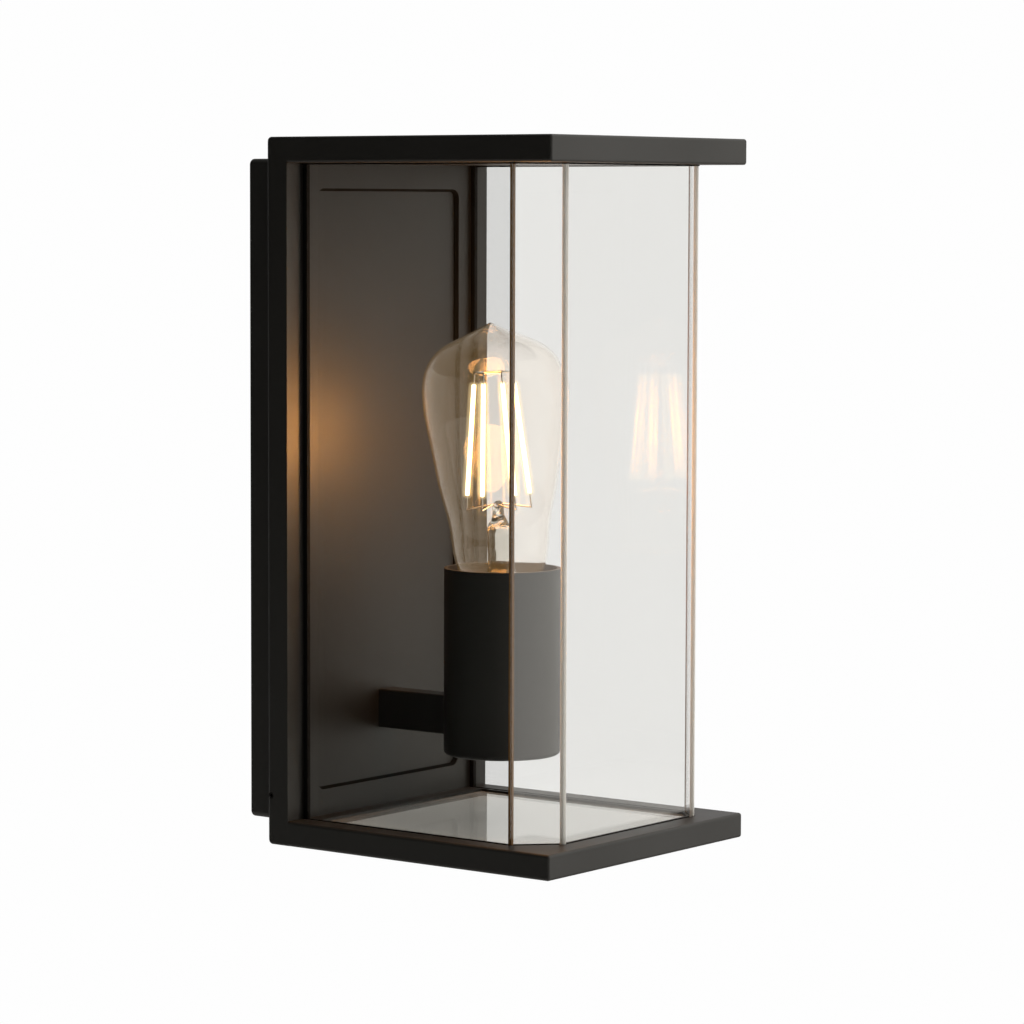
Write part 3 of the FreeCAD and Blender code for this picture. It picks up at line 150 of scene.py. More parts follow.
def adjust(material, **inputs):
    """Feed inputs of a material's own shader."""
    shader = material.node_tree.nodes["Principled BSDF"]
    for name, value in inputs.items():
        feed(material.node_tree, shader.inputs[name.replace("_", " ")], value)


def new_material(name, **inputs):
    """A material of one shader, with those of its inputs that aren't as usual."""
    material = bpy.data.materials.new(name)
    material.use_nodes = True
    adjust(material, **inputs)
    return material


def new_object(name, mesh, material=None):
    """Link a finished mesh as an object at the origin."""
    piece = bpy.data.objects.new(name, mesh)
    scene.collection.objects.link(piece)
    if material is not None:
        mesh.materials.clear()
        mesh.materials.append(material)
    return piece


FLOOR_HEIGHT, FLOOR_RADIUS, FLOOR_LIFT = -0.9, 3.0, 0.42
disc = bmesh.new()
bmesh.ops.create_circle(disc, cap_ends=True, segments=96, radius=FLOOR_RADIUS)
bmesh.ops.translate(disc, verts=disc.verts, vec=(0, 0, FLOOR_HEIGHT))
floor_mesh = bpy.data.meshes.new("studio_floor")
disc.to_mesh(floor_mesh)
disc.free()
floor_paint = new_material("floor_paper", Base_Color=(0.9, 0.9, 0.89, 1), Roughness=0.9,
                           Emission_Color=(1, 1, 0.99, 1))
floor_seen = add_node(floor_paint.node_tree, "ShaderNodeLightPath").outputs["Is Camera Ray"]
floor_lift = calculate(floor_paint.node_tree, "MULTIPLY", floor_seen, FLOOR_LIFT)
adjust(floor_paint, Emission_Strength=floor_lift)
new_object("studio_floor", floor_mesh, floor_paint)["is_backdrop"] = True


# ---- rear box and coated plates ----
# The rear box is a die-cast aluminium tray, screwed to the wall. It and every other metal
# part in sight wear the same satin black powder coat. Its edges are painted a little lighter,
# partly as wear and partly as a painted highlight where the edges catch the light.
def new_group(name, inputs, outputs):
    """A shader node group with named number inputs and outputs."""
    tree = bpy.data.node_groups.new(name, "ShaderNodeTree")
    for label, value in inputs:
        socket = tree.interface.new_socket(label, in_out="INPUT", socket_type="NodeSocketFloat")
        socket.default_value = value
    for label in outputs:
        tree.interface.new_socket(label, in_out="OUTPUT", socket_type="NodeSocketFloat")
    return tree, add_node(tree, "NodeGroupInput").outputs, add_node(tree, "NodeGroupOutput").inputs


# Fine grain, which may be drawn out upright, and broad patches.
grain, given, made = new_group("surface_grain", [("Grain Scale", 900), ("Patch Scale", 20),
                                                 ("Stretch", 1)], ["Grain", "Patch"])
where = add_node(grain, "ShaderNodeTexCoord").outputs["Object"]
flow = add_node(grain, "ShaderNodeCombineXYZ", X=1.0, Y=1.0, Z=given["Stretch"])
stretched = add_node(grain, "ShaderNodeVectorMath", {"operation": "MULTIPLY"},
                     (where, flow.outputs[0]))
specks = add_node(grain, "ShaderNodeTexNoise", Vector=stretched.outputs[0],
                  Scale=given["Grain Scale"], Detail=2.0, Roughness=0.6)
clouds = add_node(grain, "ShaderNodeTexNoise", Vector=where, Scale=given["Patch Scale"],
                  Detail=4.0, Roughness=0.55)
feed(grain, made["Grain"], specks.outputs[0])
feed(grain, made["Patch"], clouds.outputs[0])

# An edge shows where the surface's normal, rounded over a width, turns from the face's.
EDGE_START, EDGE_FULL = 0.985, 0.8
CHIP_SCALE, CHIP_START, CHIP_FULL = 260.0, 0.42, 0.62
# Wear and painted highlight: edges, broken up by chips, get a lighter tone, partly as rubbed coat
# and partly as the light that edges catch.
wear_and_sheen_tree, given, made = new_group("edge_rub", [("Width", 0.0006), ("Amount", 0.5)], ["Rubbed"])
soft_edge = add_node(wear_and_sheen_tree, "ShaderNodeBevel", {"samples": 4}, Radius=given["Width"])
face_normal = add_node(wear_and_sheen_tree, "ShaderNodeNewGeometry").outputs["Normal"]
facing = add_node(wear_and_sheen_tree, "ShaderNodeVectorMath", {"operation": "DOT_PRODUCT"},
                  (soft_edge.outputs[0], face_normal))
edge = add_node(wear_and_sheen_tree, "ShaderNodeMapRange", Value=facing.outputs["Value"], From_Min=EDGE_START,
                From_Max=EDGE_FULL, To_Min=0.0, To_Max=1.0)
where = add_node(wear_and_sheen_tree, "ShaderNodeTexCoord").outputs["Object"]
chips = add_node(wear_and_sheen_tree, "ShaderNodeTexNoise", Vector=where, Scale=CHIP_SCALE, Detail=3.0)
broken = add_node(wear_and_sheen_tree, "ShaderNodeMapRange", Value=chips.outputs[0], From_Min=CHIP_START,
                  From_Max=CHIP_FULL)
wear_and_sheen_share = calculate(wear_and_sheen_tree, "MULTIPLY", edge.outputs[0], broken.outputs[0])
feed(wear_and_sheen_tree, made["Rubbed"], calculate(wear_and_sheen_tree, "MULTIPLY", wear_and_sheen_share, given["Amount"]))


def mix_colours(tree, share, first, second):
    """The output of a node that mixes two colours, each plain or another node's output."""
    mix = add_node(tree, "ShaderNodeMix", {"data_type": "RGBA"})
    for place, value in ((0, share), (6, first), (7, second)):
        feed(tree, mix.inputs[place], (*value, 1) if isinstance(value, tuple) else value)
    return mix.outputs[2]


def new_finish(name, deep, pale, wear_and_sheen_colour, dull, shiny, metal=0.0, grain_scale=900, patch_scale=20,
               relief=0.1, rub_amount=0.5, rub_width=0.0006):
    """An opaque finish of two close tones in patches, with relief, and edges lighter as wear and
    highlight.
    """
    finish = new_material(name, Metallic=metal)
    tree = finish.node_tree
    detail = add_node(tree, "ShaderNodeGroup", {"node_tree": grain}, Grain_Scale=grain_scale,
                      Patch_Scale=patch_scale).outputs
    edge_wear_and_sheen = add_node(tree, "ShaderNodeGroup", {"node_tree": wear_and_sheen_tree}, Width=rub_width,
                    Amount=rub_amount).outputs
    tones = mix_colours(tree, detail["Patch"], deep, pale)
    gloss = add_node(tree, "ShaderNodeMapRange", Value=detail["Patch"], From_Min=0.3,
                     From_Max=0.7, To_Min=shiny, To_Max=dull)
    bump = add_node(tree, "ShaderNodeBump", Strength=relief, Distance=0.0002,
                    Height=detail["Grain"])
    # Wear and painted highlight: the edge mask turns the colour towards the lighter edge tone.
    adjust(finish, Base_Color=mix_colours(tree, edge_wear_and_sheen["Rubbed"], tones, wear_and_sheen_colour),
           Roughness=gloss.outputs[0], Normal=bump.outputs[0])
    return finish


def dress(material, *names):
    """Give carried-over pieces their finish."""
    for name in names:
        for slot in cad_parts[name].material_slots:
            slot.material = material


black_coat = new_finish("black_coat", deep=(0.011, 0.0101, 0.0083), pale=(0.015, 0.0138, 0.0115),
                        wear_and_sheen_colour=(0.03, 0.028, 0.025), dull=0.56, shiny=0.5, grain_scale=1500,
                        patch_scale=18, relief=0.02, rub_amount=0.25)
adjust(black_coat, Specular_IOR_Level=0.6)
dress(black_coat, "rear_box", "carrier_plate", "lamp_arm", "lamp_cup", "frame_plate", "lid",
      "base_frame", "lid_liner")


# ---- gaskets and grommet ----
# Flat gaskets behind the box, round the carrier plate and inside the frame, and the cable
# grommet, are soft black rubber in their grooves. The glass stands in dull black seals. A thin
# bead of the same dull black lies in the corner between the frame's window and the plate behind
# it as painted shade for the shadowed recess wall there.
rubber = new_finish("seal_rubber", deep=(0.012, 0.012, 0.012), pale=(0.022, 0.022, 0.021),
                    wear_and_sheen_colour=(0.04, 0.04, 0.04), dull=0.85, shiny=0.7, grain_scale=700,
                    patch_scale=60, relief=0.3, rub_amount=0.2)
dull_black = new_finish("dull_black", deep=(0.004, 0.004, 0.004), pale=(0.007, 0.0067, 0.006),
                        wear_and_sheen_colour=(0.01, 0.01, 0.01), dull=0.95, shiny=0.85, grain_scale=500,
                        patch_scale=70, relief=0.2, rub_amount=0.1)
adjust(dull_black, Specular_IOR_Level=0.1)
dress(rubber, "wall_gasket", "cable_grommet", "box_gasket", "frame_gasket", "pane_seal")
dress(dull_black, "glass_seal_bottom", "glass_seal_top", "side_seals")

WINDOW_MARGIN, WINDOW_CORNER, RECESS = 0.0215, 0.004, 0.002
BEAD, BEAD_START, BEAD_SHOULDER = 0.0011, 0.0003, 0.0014
CORNER_STEPS = 10


def rounded_loop(half_wide, half_high, radius):
    """Points round an upright rectangle with rounded corners, as (x, z)."""
    loop = []
    for sx, sz, start in ((1, 1, 0), (-1, 1, 90), (-1, -1, 180), (1, -1, 270)):
        for i in range(CORNER_STEPS + 1):
            a = math.radians(start + 90 * i / CORNER_STEPS)
            loop.append((sx * (half_wide - radius) + radius * math.cos(a),
                         sz * (half_high - radius) + radius * math.sin(a)))
    return loop


def closed_mesh(name, form):
    """Keep a closed form as a mesh, with its faces outwards."""
    bmesh.ops.recalc_face_normals(form, faces=form.faces)
    if form.calc_volume(signed=True) < 0:
        bmesh.ops.reverse_faces(form, faces=form.faces)
    mesh = bpy.data.meshes.new(name)
    form.to_mesh(mesh)
    form.free()
    return mesh


# Painted shade: a dull black bead fills the recess corner round the window, where the recess wall
# lies in shadow.
frame_low, frame_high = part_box("frame_plate")
frame_face = frame_low[1]
window_wide, window_high = frame_high[0] - WINDOW_MARGIN, frame_high[2] - WINDOW_MARGIN
outside = rounded_loop(window_wide, window_high, WINDOW_CORNER)
inside = rounded_loop(window_wide - BEAD, window_high - BEAD, WINDOW_CORNER - BEAD)
form = bmesh.new()
section = ((outside, BEAD_START), (inside, BEAD_SHOULDER), (inside, RECESS), (outside, RECESS))
loops = [[form.verts.new((x, frame_face + depth, z)) for x, z in loop] for loop, depth in section]
for low, high in zip(loops, loops[1:] + loops[:1]):
    for i in range(len(low)):
        j = (i + 1) % len(low)
        form.faces.new((low[i], low[j], high[j], high[i]))
window_bead = new_object("window_bead", closed_mesh("window_bead", form), dull_black)
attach(window_bead, "cage")


# ---- screws ----
# Machine screws hold it all together. Those in the plates, the arm, the cup and the cage are
# blackened steel, and those of the wiring and the lampholder are zinc plated.
black_steel = new_finish("blackened_steel", deep=(0.03, 0.03, 0.03), pale=(0.06, 0.058, 0.055),
                         wear_and_sheen_colour=(0.25, 0.24, 0.23), dull=0.45, shiny=0.3, metal=1.0,
                         grain_scale=1800, patch_scale=150, relief=0.15, rub_amount=0.7,
                         rub_width=0.0003)
zinc_steel = new_finish("zinc_steel", deep=(0.5, 0.51, 0.52), pale=(0.66, 0.67, 0.68),
                        wear_and_sheen_colour=(0.8, 0.8, 0.8), dull=0.4, shiny=0.25, metal=1.0,
                        grain_scale=1600, patch_scale=120, relief=0.1, rub_width=0.0003)
dress(black_steel, "carrier_screws", "arm_screws", "cup_screws", "frame_screws", "liner_screws",
      "side_screw_left", "side_screw_right")
dress(zinc_steel, "block_screws", "earth_screw", "holder_screws", "holder_pillars",
      "terminal_screws")


# ---- wiring ----
# A terminal block of pale nylon with brass clamps stands in the rear box. Brown and blue
# wires lead from it through the arm to the lampholder, and a green one to the earth tag.
nylon = new_finish("nylon", deep=(0.7, 0.69, 0.65), pale=(0.82, 0.81, 0.77),
                   wear_and_sheen_colour=(0.9, 0.9, 0.87), dull=0.5, shiny=0.38, patch_scale=90, relief=0.08,
                   rub_amount=0.3)
brass = new_finish("brass", deep=(0.55, 0.38, 0.14), pale=(0.72, 0.55, 0.26),
                   wear_and_sheen_colour=(0.85, 0.7, 0.4), dull=0.35, shiny=0.2, metal=1.0, grain_scale=1500,
                   patch_scale=140, relief=0.08)
tinned = new_finish("tinned_copper", deep=(0.6, 0.58, 0.54), pale=(0.76, 0.75, 0.72),
                    wear_and_sheen_colour=(0.82, 0.82, 0.8), dull=0.4, shiny=0.22, metal=1.0, grain_scale=1800,
                    patch_scale=200)
dress(nylon, "terminal_block", "side_screw_tip_left", "side_screw_tip_right")
dress(brass, "terminal_clamps", "lampholder_shell", "centre_contact")
dress(tinned, "earth_tag", "cap_contact", "filament_wires")

WIRES = (("wire_live", "brown_wire", (0.14, 0.055, 0.03), (0.2, 0.09, 0.05), (0.24, 0.12, 0.08)),
         ("wire_neutral", "blue_wire", (0.03, 0.13, 0.42), (0.05, 0.18, 0.5), (0.1, 0.24, 0.55)),
         ("wire_earth", "green_wire", (0.12, 0.42, 0.06), (0.16, 0.48, 0.09), (0.2, 0.5, 0.12)))
for wire, colour, deep, pale, wear_and_sheen_colour in WIRES:
    dress(new_finish(colour, deep, pale, wear_and_sheen_colour, dull=0.4, shiny=0.28, grain_scale=600,
                     patch_scale=120, relief=0.06, rub_amount=0.1), wire)


# ---- lampholder ----
# The holder is moulded in pale heat-proof plastic round a brass shell, and stands on two
# pillars in the cup.
holder_plastic = new_finish("holder_plastic", deep=(0.55, 0.53, 0.48), pale=(0.66, 0.64, 0.58),
                            wear_and_sheen_colour=(0.7, 0.68, 0.62), dull=0.55, shiny=0.42, patch_scale=80,
                            rub_amount=0.2)
dress(holder_plastic, "lampholder_body")


# ---- lamp ----
# A pear-shaped lamp of clear blown glass, drawn to a tip, screws into the holder by its cap
# and leans a little in it. Its stem is a glass tube, flared and fused in at the foot.
LAMP_AXIS, LAMP_RADIUS, LAMP_WALL = -0.0903, 0.0304, 0.0007
CAP_TOP, LAMP_TOP = -0.042, 0.0722
ON_AXIS = 1e-6
LEAN, LEAN_HEADING = math.radians(2.5), math.radians(127.5)
LEAST_RADIUS = 0.00002

pivot = Vector((0, LAMP_AXIS, CAP_TOP))
lean_axis = Vector((-math.sin(LEAN_HEADING), math.cos(LEAN_HEADING), 0))
lamp_place = (Matrix.Translation(pivot) @ Matrix.Rotation(LEAN, 4, lean_axis)
              @ Matrix.Translation((0, 0, -CAP_TOP)))


def smooth_line(knots, count):
    """Points along a natural cubic through the knots, as a list of (radius, height)."""
    knots = np.array(knots, float)
    steps = np.concatenate([[0], np.cumsum(np.hypot(*np.diff(knots, axis=0).T))])
    gaps = np.diff(steps)
    size = len(knots)
    system, right = np.eye(size), np.zeros((size, 2))
    for i in range(1, size - 1):
        system[i, i - 1:i + 2] = gaps[i - 1], 2 * (gaps[i - 1] + gaps[i]), gaps[i]
        right[i] = 6 * ((knots[i + 1] - knots[i]) / gaps[i]
                        - (knots[i] - knots[i - 1]) / gaps[i - 1])
    bends = np.linalg.solve(system, right)
    line = []
    for s in np.linspace(0, steps[-1], count):
        i = min(int(np.searchsorted(steps, s, side="right")) - 1, size - 2)
        a, b, gap = steps[i + 1] - s, s - steps[i], gaps[i]
        line.append((bends[i] * a ** 3 + bends[i + 1] * b ** 3) / (6 * gap)
                    + (knots[i] / gap - bends[i] * gap / 6) * a
                    + (knots[i + 1] / gap - bends[i + 1] * gap / 6) * b)
    return [(max(float(r), 0.0), float(z)) for r, z in line]


def turned(name, outline, segments, shape=None):
    """Turn an outline of (radius, height), which starts and ends on the axis or goes round."""
    form = bmesh.new()
    rings = []
    for r, z in outline:
        if r < ON_AXIS:
            rings.append([form.verts.new((0, 0, z))])
            continue
        angles = [2 * math.pi * i / segments for i in range(segments)]
        points = [(r * math.cos(a), r * math.sin(a), z) for a in angles]
        if shape is not None:
            points = [shape(Vector(p), a) for p, a in zip(points, angles)]
        rings.append([form.verts.new(p) for p in points])
    goes_round = len(rings[0]) > 1
    for low, high in list(zip(rings, rings[1:])) + ([(rings[-1], rings[0])] if goes_round else []):
        for i in range(segments):
            j = (i + 1) % segments
            corners = dict.fromkeys([low[i % len(low)], low[j % len(low)],
                                     high[j % len(high)], high[i % len(high)]])
            if len(corners) > 2:
                form.faces.new(list(corners)).smooth = True
    return closed_mesh(name, form)


def new_glass(name, tint, film, shadow_tint, ior, wave_scale, wave):
    """Clear glass with a faint film and drawn waves, which lets light through to matt things."""
    glass = new_material(name, Transmission_Weight=1.0, Roughness=0.0, IOR=ior)
    tree = glass.node_tree
    detail = add_node(tree, "ShaderNodeGroup", {"node_tree": grain}, Grain_Scale=wave_scale,
                      Patch_Scale=14, Stretch=0.35).outputs
    bump = add_node(tree, "ShaderNodeBump", Strength=wave, Distance=0.0005,
                    Height=detail["Grain"])
    adjust(glass, Base_Color=mix_colours(tree, detail["Patch"], tint, film),
           Normal=bump.outputs[0])
    rays = add_node(tree, "ShaderNodeLightPath").outputs
    lit = calculate(tree, "MAXIMUM", rays["Is Shadow Ray"], rays["Is Diffuse Ray"])
    rough = calculate(tree, "SUBTRACT", rays["Is Glossy Ray"], rays["Is Singular Ray"])
    through = calculate(tree, "MAXIMUM", lit, rough)
    clear = add_node(tree, "ShaderNodeBsdfTransparent", Color=(*shadow_tint, 1))
    either = add_node(tree, "ShaderNodeMixShader", None,
                      (through, tree.nodes["Principled BSDF"].outputs[0], clear.outputs[0]))
    feed(tree, tree.nodes["Material Output"].inputs["Surface"], either.outputs[0])
    return glass


lamp_glass = new_glass("lamp_glass", tint=(1.0, 0.996, 0.988), film=(0.997, 0.99, 0.98),
                       shadow_tint=(0.97, 0.96, 0.94), ior=1.42, wave_scale=60, wave=0.02)
# Painted glow: the envelope glass gives off a faint warm light of its own, for the filaments' light
# caught in the glass.
adjust(lamp_glass, Emission_Color=(1.0, 0.62, 0.24, 1), Emission_Strength=0.022)

# The envelope's outline, from the cap up, in shares of its radius and of its height.
ENVELOPE = [(0.37, -0.018), (0.38, 0.004), (0.5, 0.042), (0.632, 0.114), (0.691, 0.241),
            (0.799, 0.368), (0.895, 0.517), (0.97, 0.639), (1.0, 0.731), (0.947, 0.8275),
            (0.743, 0.9037), (0.441, 0.9457), (0.171, 0.9781), (0.0, 1.0)]
height = LAMP_TOP - CAP_TOP
outer = smooth_line([(r * LAMP_RADIUS, CAP_TOP + z * height) for r, z in ENVELOPE],
                    count=110)
inner = [(outer[0][0] - LAMP_WALL, outer[0][1])]
for before, point, after in zip(outer, outer[1:], outer[2:]):
    across, up = after[0] - before[0], after[1] - before[1]
    run = math.hypot(across, up)
    inner.append((max(point[0] - LAMP_WALL * up / run, LEAST_RADIUS),
                  point[1] + LAMP_WALL * across / run))
inner.append((0.0, outer[-1][1] - LAMP_WALL))
bulb = turned("lamp_envelope", outer[::-1] + inner, segments=128)
bulb.transform(lamp_place)
envelope = new_object("lamp_envelope", bulb, lamp_glass)
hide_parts("bulb_glass")
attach(envelope, "lamp")

# The stem's outline in millimetres, from its pinched top down its outside and up its inside.
STEM = [(0, -4), (1.6, -4.2), (2.9, -5), (3.4, -7), (3.5, -9.5), (4.3, -12), (5.0, -14.5),
        (5.3, -17.5), (5.3, -24), (5.3, -30), (5.8, -34), (7.4, -37.2), (9.4, -39.6),
        (9.9, -40.6), (9.2, -40.8), (7.0, -38.4), (5.0, -35), (4.5, -31), (4.5, -24),
        (4.5, -18), (4.1, -15.6), (2.6, -13.9), (1.2, -13.4), (0, -13.3)]
PINCH_HEIGHT, PINCH_RUN = -0.0155, 0.006
PINCH_WIDER, PINCH_FLATTER = 0.08, 0.58
FOLD, RIPPLE = 0.00035, 0.0004


def pinched(point, angle):
    """A point of the round stem, moved to where the soft glass was squeezed round the wires."""
    share = min(max((point.z - PINCH_HEIGHT) / PINCH_RUN, 0), 1)
    squeeze = share * share * (3 - 2 * share)
    fold = FOLD * squeeze * math.sin(3 * angle + 1100 * point.z)
    return Vector((point.x * (1 + PINCH_WIDER * squeeze) + fold,
                   point.y * (1 - PINCH_FLATTER * squeeze) + fold,
                   point.z + RIPPLE * squeeze * math.sin(2 * angle + 0.7)))


stem_line = smooth_line([(r / 1000, z / 1000) for r, z in STEM], count=70)
stem_line[0], stem_line[-1] = (0.0, STEM[0][1] / 1000), (0.0, STEM[-1][1] / 1000)
stem_mesh = turned("lamp_stem", stem_line, segments=48, shape=pinched)
stem_mesh.transform(lamp_place)
stem_glass = new_glass("stem_glass", tint=(0.99, 0.985, 0.96), film=(0.96, 0.95, 0.91),
                       shadow_tint=(0.95, 0.94, 0.9), ior=1.5, wave_scale=350, wave=0.12)
lamp_stem = new_object("lamp_stem", stem_mesh, stem_glass)
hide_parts("bulb_stem")
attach(lamp_stem, "lamp")


# ---- filaments ----
# Six filaments stand in a ring round the stem, welded to thin wires at foot and head. Each
# is a ceramic strip under phosphor, lit from end to end, and its light spreads a little way
# into a sleeve of clear silicone.
FILAMENTS, FIRST_ANGLE = 6, math.radians(7.5)
FILAMENT_RADIUS, SLEEVE_RADIUS = 0.001, 0.0025
FOOT, HEAD = Vector((0.0129, 0, -0.0012)), Vector((0.0081, 0, 0.0462))
CORE_GLOW, EDGE_GLOW, MIRRORED_GLOW = (5.5, 4.6, 3.2), (1.8, 1.2, 0.5), (1.0, 0.75, 0.42)
SLEEVE_GLOW, SLEEVE_STRENGTH, SLEEVE_VEIL = (1.0, 0.76, 0.4, 1), 1.9, 0.15

lit_phosphor = new_material("lit_phosphor", Base_Color=(0.9, 0.66, 0.2, 1), Emission_Strength=1.0)
tree = lit_phosphor.node_tree
edge_on = add_node(tree, "ShaderNodeLayerWeight", Blend=0.5).outputs["Facing"]
mirrored = add_node(tree, "ShaderNodeLightPath").outputs["Glossy Depth"]
direct = mix_colours(tree, edge_on, CORE_GLOW, EDGE_GLOW)
adjust(lit_phosphor, Emission_Color=mix_colours(tree, mirrored, direct, MIRRORED_GLOW))

sleeve_glow = new_material("sleeve_glow", Base_Color=(0, 0, 0, 1), Specular_IOR_Level=0.0,
                           Emission_Color=SLEEVE_GLOW, Emission_Strength=SLEEVE_STRENGTH)
tree = sleeve_glow.node_tree
edge_on = add_node(tree, "ShaderNodeLayerWeight", Blend=0.5).outputs["Facing"]
fade = add_node(tree, "ShaderNodeMapRange", {"interpolation_type": "SMOOTHSTEP"}, Value=edge_on,
                From_Min=1.0, From_Max=0.0, To_Min=0.0, To_Max=SLEEVE_VEIL)
milk = add_node(tree, "ShaderNodeTexCoord").outputs["Object"]
cloudy = add_node(tree, "ShaderNodeTexNoise", Vector=milk, Scale=400.0)
uneven = add_node(tree, "ShaderNodeMapRange", Value=cloudy.outputs[0], To_Min=0.85, To_Max=1.1)
adjust(sleeve_glow, Alpha=calculate(tree, "MULTIPLY", fade.outputs[0], uneven.outputs[0]))

spread = bpy.data.node_groups.new("round_the_stem", "GeometryNodeTree")
for label, kind in (("Geometry", "Geometry"), ("Count", "Int"), ("First Angle", "Float"),
                    ("Material", "Material")):
    spread.interface.new_socket(label, in_out="INPUT", socket_type="NodeSocket" + kind)
spread.interface.new_socket("Geometry", in_out="OUTPUT", socket_type="NodeSocketGeometry")
given = add_node(spread, "NodeGroupInput").outputs
number = add_node(spread, "GeometryNodeInputIndex").outputs[0]
step = calculate(spread, "DIVIDE", 2 * math.pi, given["Count"])
angle = calculate(spread, "MULTIPLY_ADD", number, step, given["First Angle"])
spin = add_node(spread, "ShaderNodeCombineXYZ", Z=angle)
spots = add_node(spread, "GeometryNodePoints", Count=given["Count"])
stand = add_node(spread, "GeometryNodeInstanceOnPoints", Points=spots.outputs[0],
                 Instance=given["Geometry"], Rotation=spin.outputs[0])
real = add_node(spread, "GeometryNodeRealizeInstances", Geometry=stand.outputs[0])
painted = add_node(spread, "GeometryNodeSetMaterial", Geometry=real.outputs[0],
                   Material=given["Material"])
add_node(spread, "NodeGroupOutput", Geometry=painted.outputs[0])


def run_tree(piece, tree, **values):
    """Run a geometry tree on a piece, and leave the piece the plain mesh that it makes."""
    modifier = piece.modifiers.new(tree.name, "NODES")
    modifier.node_group = tree
    for item in tree.interface.items_tree:
        if item.in_out == "INPUT" and item.name.replace(" ", "_") in values:
            modifier[item.identifier] = values[item.name.replace(" ", "_")]
    graph = bpy.context.evaluated_depsgraph_get()
    mesh = bpy.data.meshes.new_from_object(piece.evaluated_get(graph))
    piece.modifiers.remove(modifier)
    piece.data = mesh


def ring_of_rods(name, end, steps, segments, material):
    """Rods from foot to head, round the stem. The end is (radius, height) from its tip."""
    length = (HEAD - FOOT).length
    radius, start = end[-1]
    side = [(radius, start + (length - 2 * start) * i / steps) for i in range(1, steps)]
    far_end = [(r, length - z) for r, z in reversed(end)]
    rod = turned(name, end + side + far_end, segments)
    lean_in = (HEAD - FOOT).to_track_quat("Z", "Y").to_matrix().to_4x4()
    rod.transform(Matrix.Translation(FOOT) @ lean_in)
    rods = new_object(name, rod)
    run_tree(rods, spread, Count=FILAMENTS, First_Angle=FIRST_ANGLE, Material=material)
    rods.data.transform(lamp_place)
    return rods


rounded_end = [(0, 0), (FILAMENT_RADIUS * 0.7, FILAMENT_RADIUS * 0.15),
               (FILAMENT_RADIUS, FILAMENT_RADIUS * 0.5)]
filaments = ring_of_rods("filaments", rounded_end, steps=8, segments=16, material=lit_phosphor)
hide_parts("bulb_filaments")
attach(filaments, "lamp")

fading_end = [(0, -0.0012), (SLEEVE_RADIUS * 0.6, -0.0009), (SLEEVE_RADIUS * 0.9, 0.0),
              (SLEEVE_RADIUS, 0.0015)]
sleeves = ring_of_rods("filament_sleeves", fading_end, steps=6, segments=20,
                       material=sleeve_glow)
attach(sleeves, "lamp")

LIGHT_HEIGHT, LIGHT_SIZE, LIGHT_POWER, LIGHT_TINT = 0.022, 0.014, 0.64, (1.0, 0.45, 0.13)
lamp_light = bpy.data.lights.new("lamp_light", "POINT")
lamp_light.shadow_soft_size, lamp_light.energy = LIGHT_SIZE, LIGHT_POWER
lamp_light.color = LIGHT_TINT
lamp_glow = bpy.data.objects.new("lamp_light", lamp_light)
lamp_glow.location = (0, LAMP_AXIS, LIGHT_HEIGHT)
lamp_glow.visible_camera = lamp_glow.visible_transmission = False
scene.collection.objects.link(lamp_glow)


# ---- cap ----
# The lamp's cap is thin nickel-plated brass, rolled to a screw thread, with black glass
# round its bottom contact and a small driver board inside.
nickel = new_finish("nickel_cap", deep=(0.6, 0.58, 0.53), pale=(0.74, 0.72, 0.68),
                    wear_and_sheen_colour=(0.85, 0.84, 0.8), dull=0.32, shiny=0.18, metal=1.0, grain_scale=1500,
                    patch_scale=130, relief=0.08)
vitrite = new_finish("black_vitrite", deep=(0.015, 0.015, 0.018), pale=(0.025, 0.024, 0.028),
                     wear_and_sheen_colour=(0.05, 0.05, 0.05), dull=0.2, shiny=0.08, grain_scale=400,
                     patch_scale=90, relief=0.05, rub_amount=0.1)
board = new_finish("circuit_board", deep=(0.05, 0.2, 0.09), pale=(0.09, 0.28, 0.14),
                   wear_and_sheen_colour=(0.3, 0.4, 0.3), dull=0.5, shiny=0.35, grain_scale=500,
                   patch_scale=200)
dress(nickel, "bulb_cap")
dress(vitrite, "cap_insulator")
dress(board, "driver_board")


# ---- glass box ----
# Five panes of clear float glass are mitred and bonded upright at the corners, with clear
# glue in front and brown at the sides. The brown strips are also painted shade for the dark
# that the side seams show, and the pale strips a painted highlight for the light line along
# the front seams. They stand in seals between the lid and the base, and their rear ends are
# bound in black tape. A slightly hazy pane lies in the base.
GLASS_THICK, ARRIS, END_TAPE, TAPE_LIP = 0.003, 0.0001, 0.0016, 0.0001
BOND_HALF, BOND_INSET, BOND_END = 0.0007, 0.0002, 0.0005
side_low, side_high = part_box("pane_left")
front_low, front_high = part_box("pane_front")
box_half, box_front, box_rear = -side_low[0], -front_low[1], -side_high[1]
glass_low, glass_high = side_low[2], side_high[2]
left_leg, right_leg = box_half + front_low[0], box_half - front_high[0]
glass_rear = box_rear + END_TAPE


def box_path(step):
    """The glass box's outline in plan, moved inward by a step: rear left round to rear right."""
    half, face = box_half - step, box_front - step
    left, right = (leg - (2 - math.sqrt(2)) * step for leg in (left_leg, right_leg))
    return [(-half, -glass_rear), (-half, left - face), (left - half, -face),
            (half - right, -face), (half, right - face), (half, -glass_rear)]


def cut_corners(path, size):
    """The same outline with each of its corners between the ends cut to a small flat."""
    flats = [path[0]]
    for before, corner, after in zip(path, path[1:], path[2:]):
        for other in (before, after):
            run = math.hypot(other[0] - corner[0], other[1] - corner[1])
            flats.append((corner[0] + (other[0] - corner[0]) * size / run,
                          corner[1] + (other[1] - corner[1]) * size / run))
    return flats + [path[-1]]


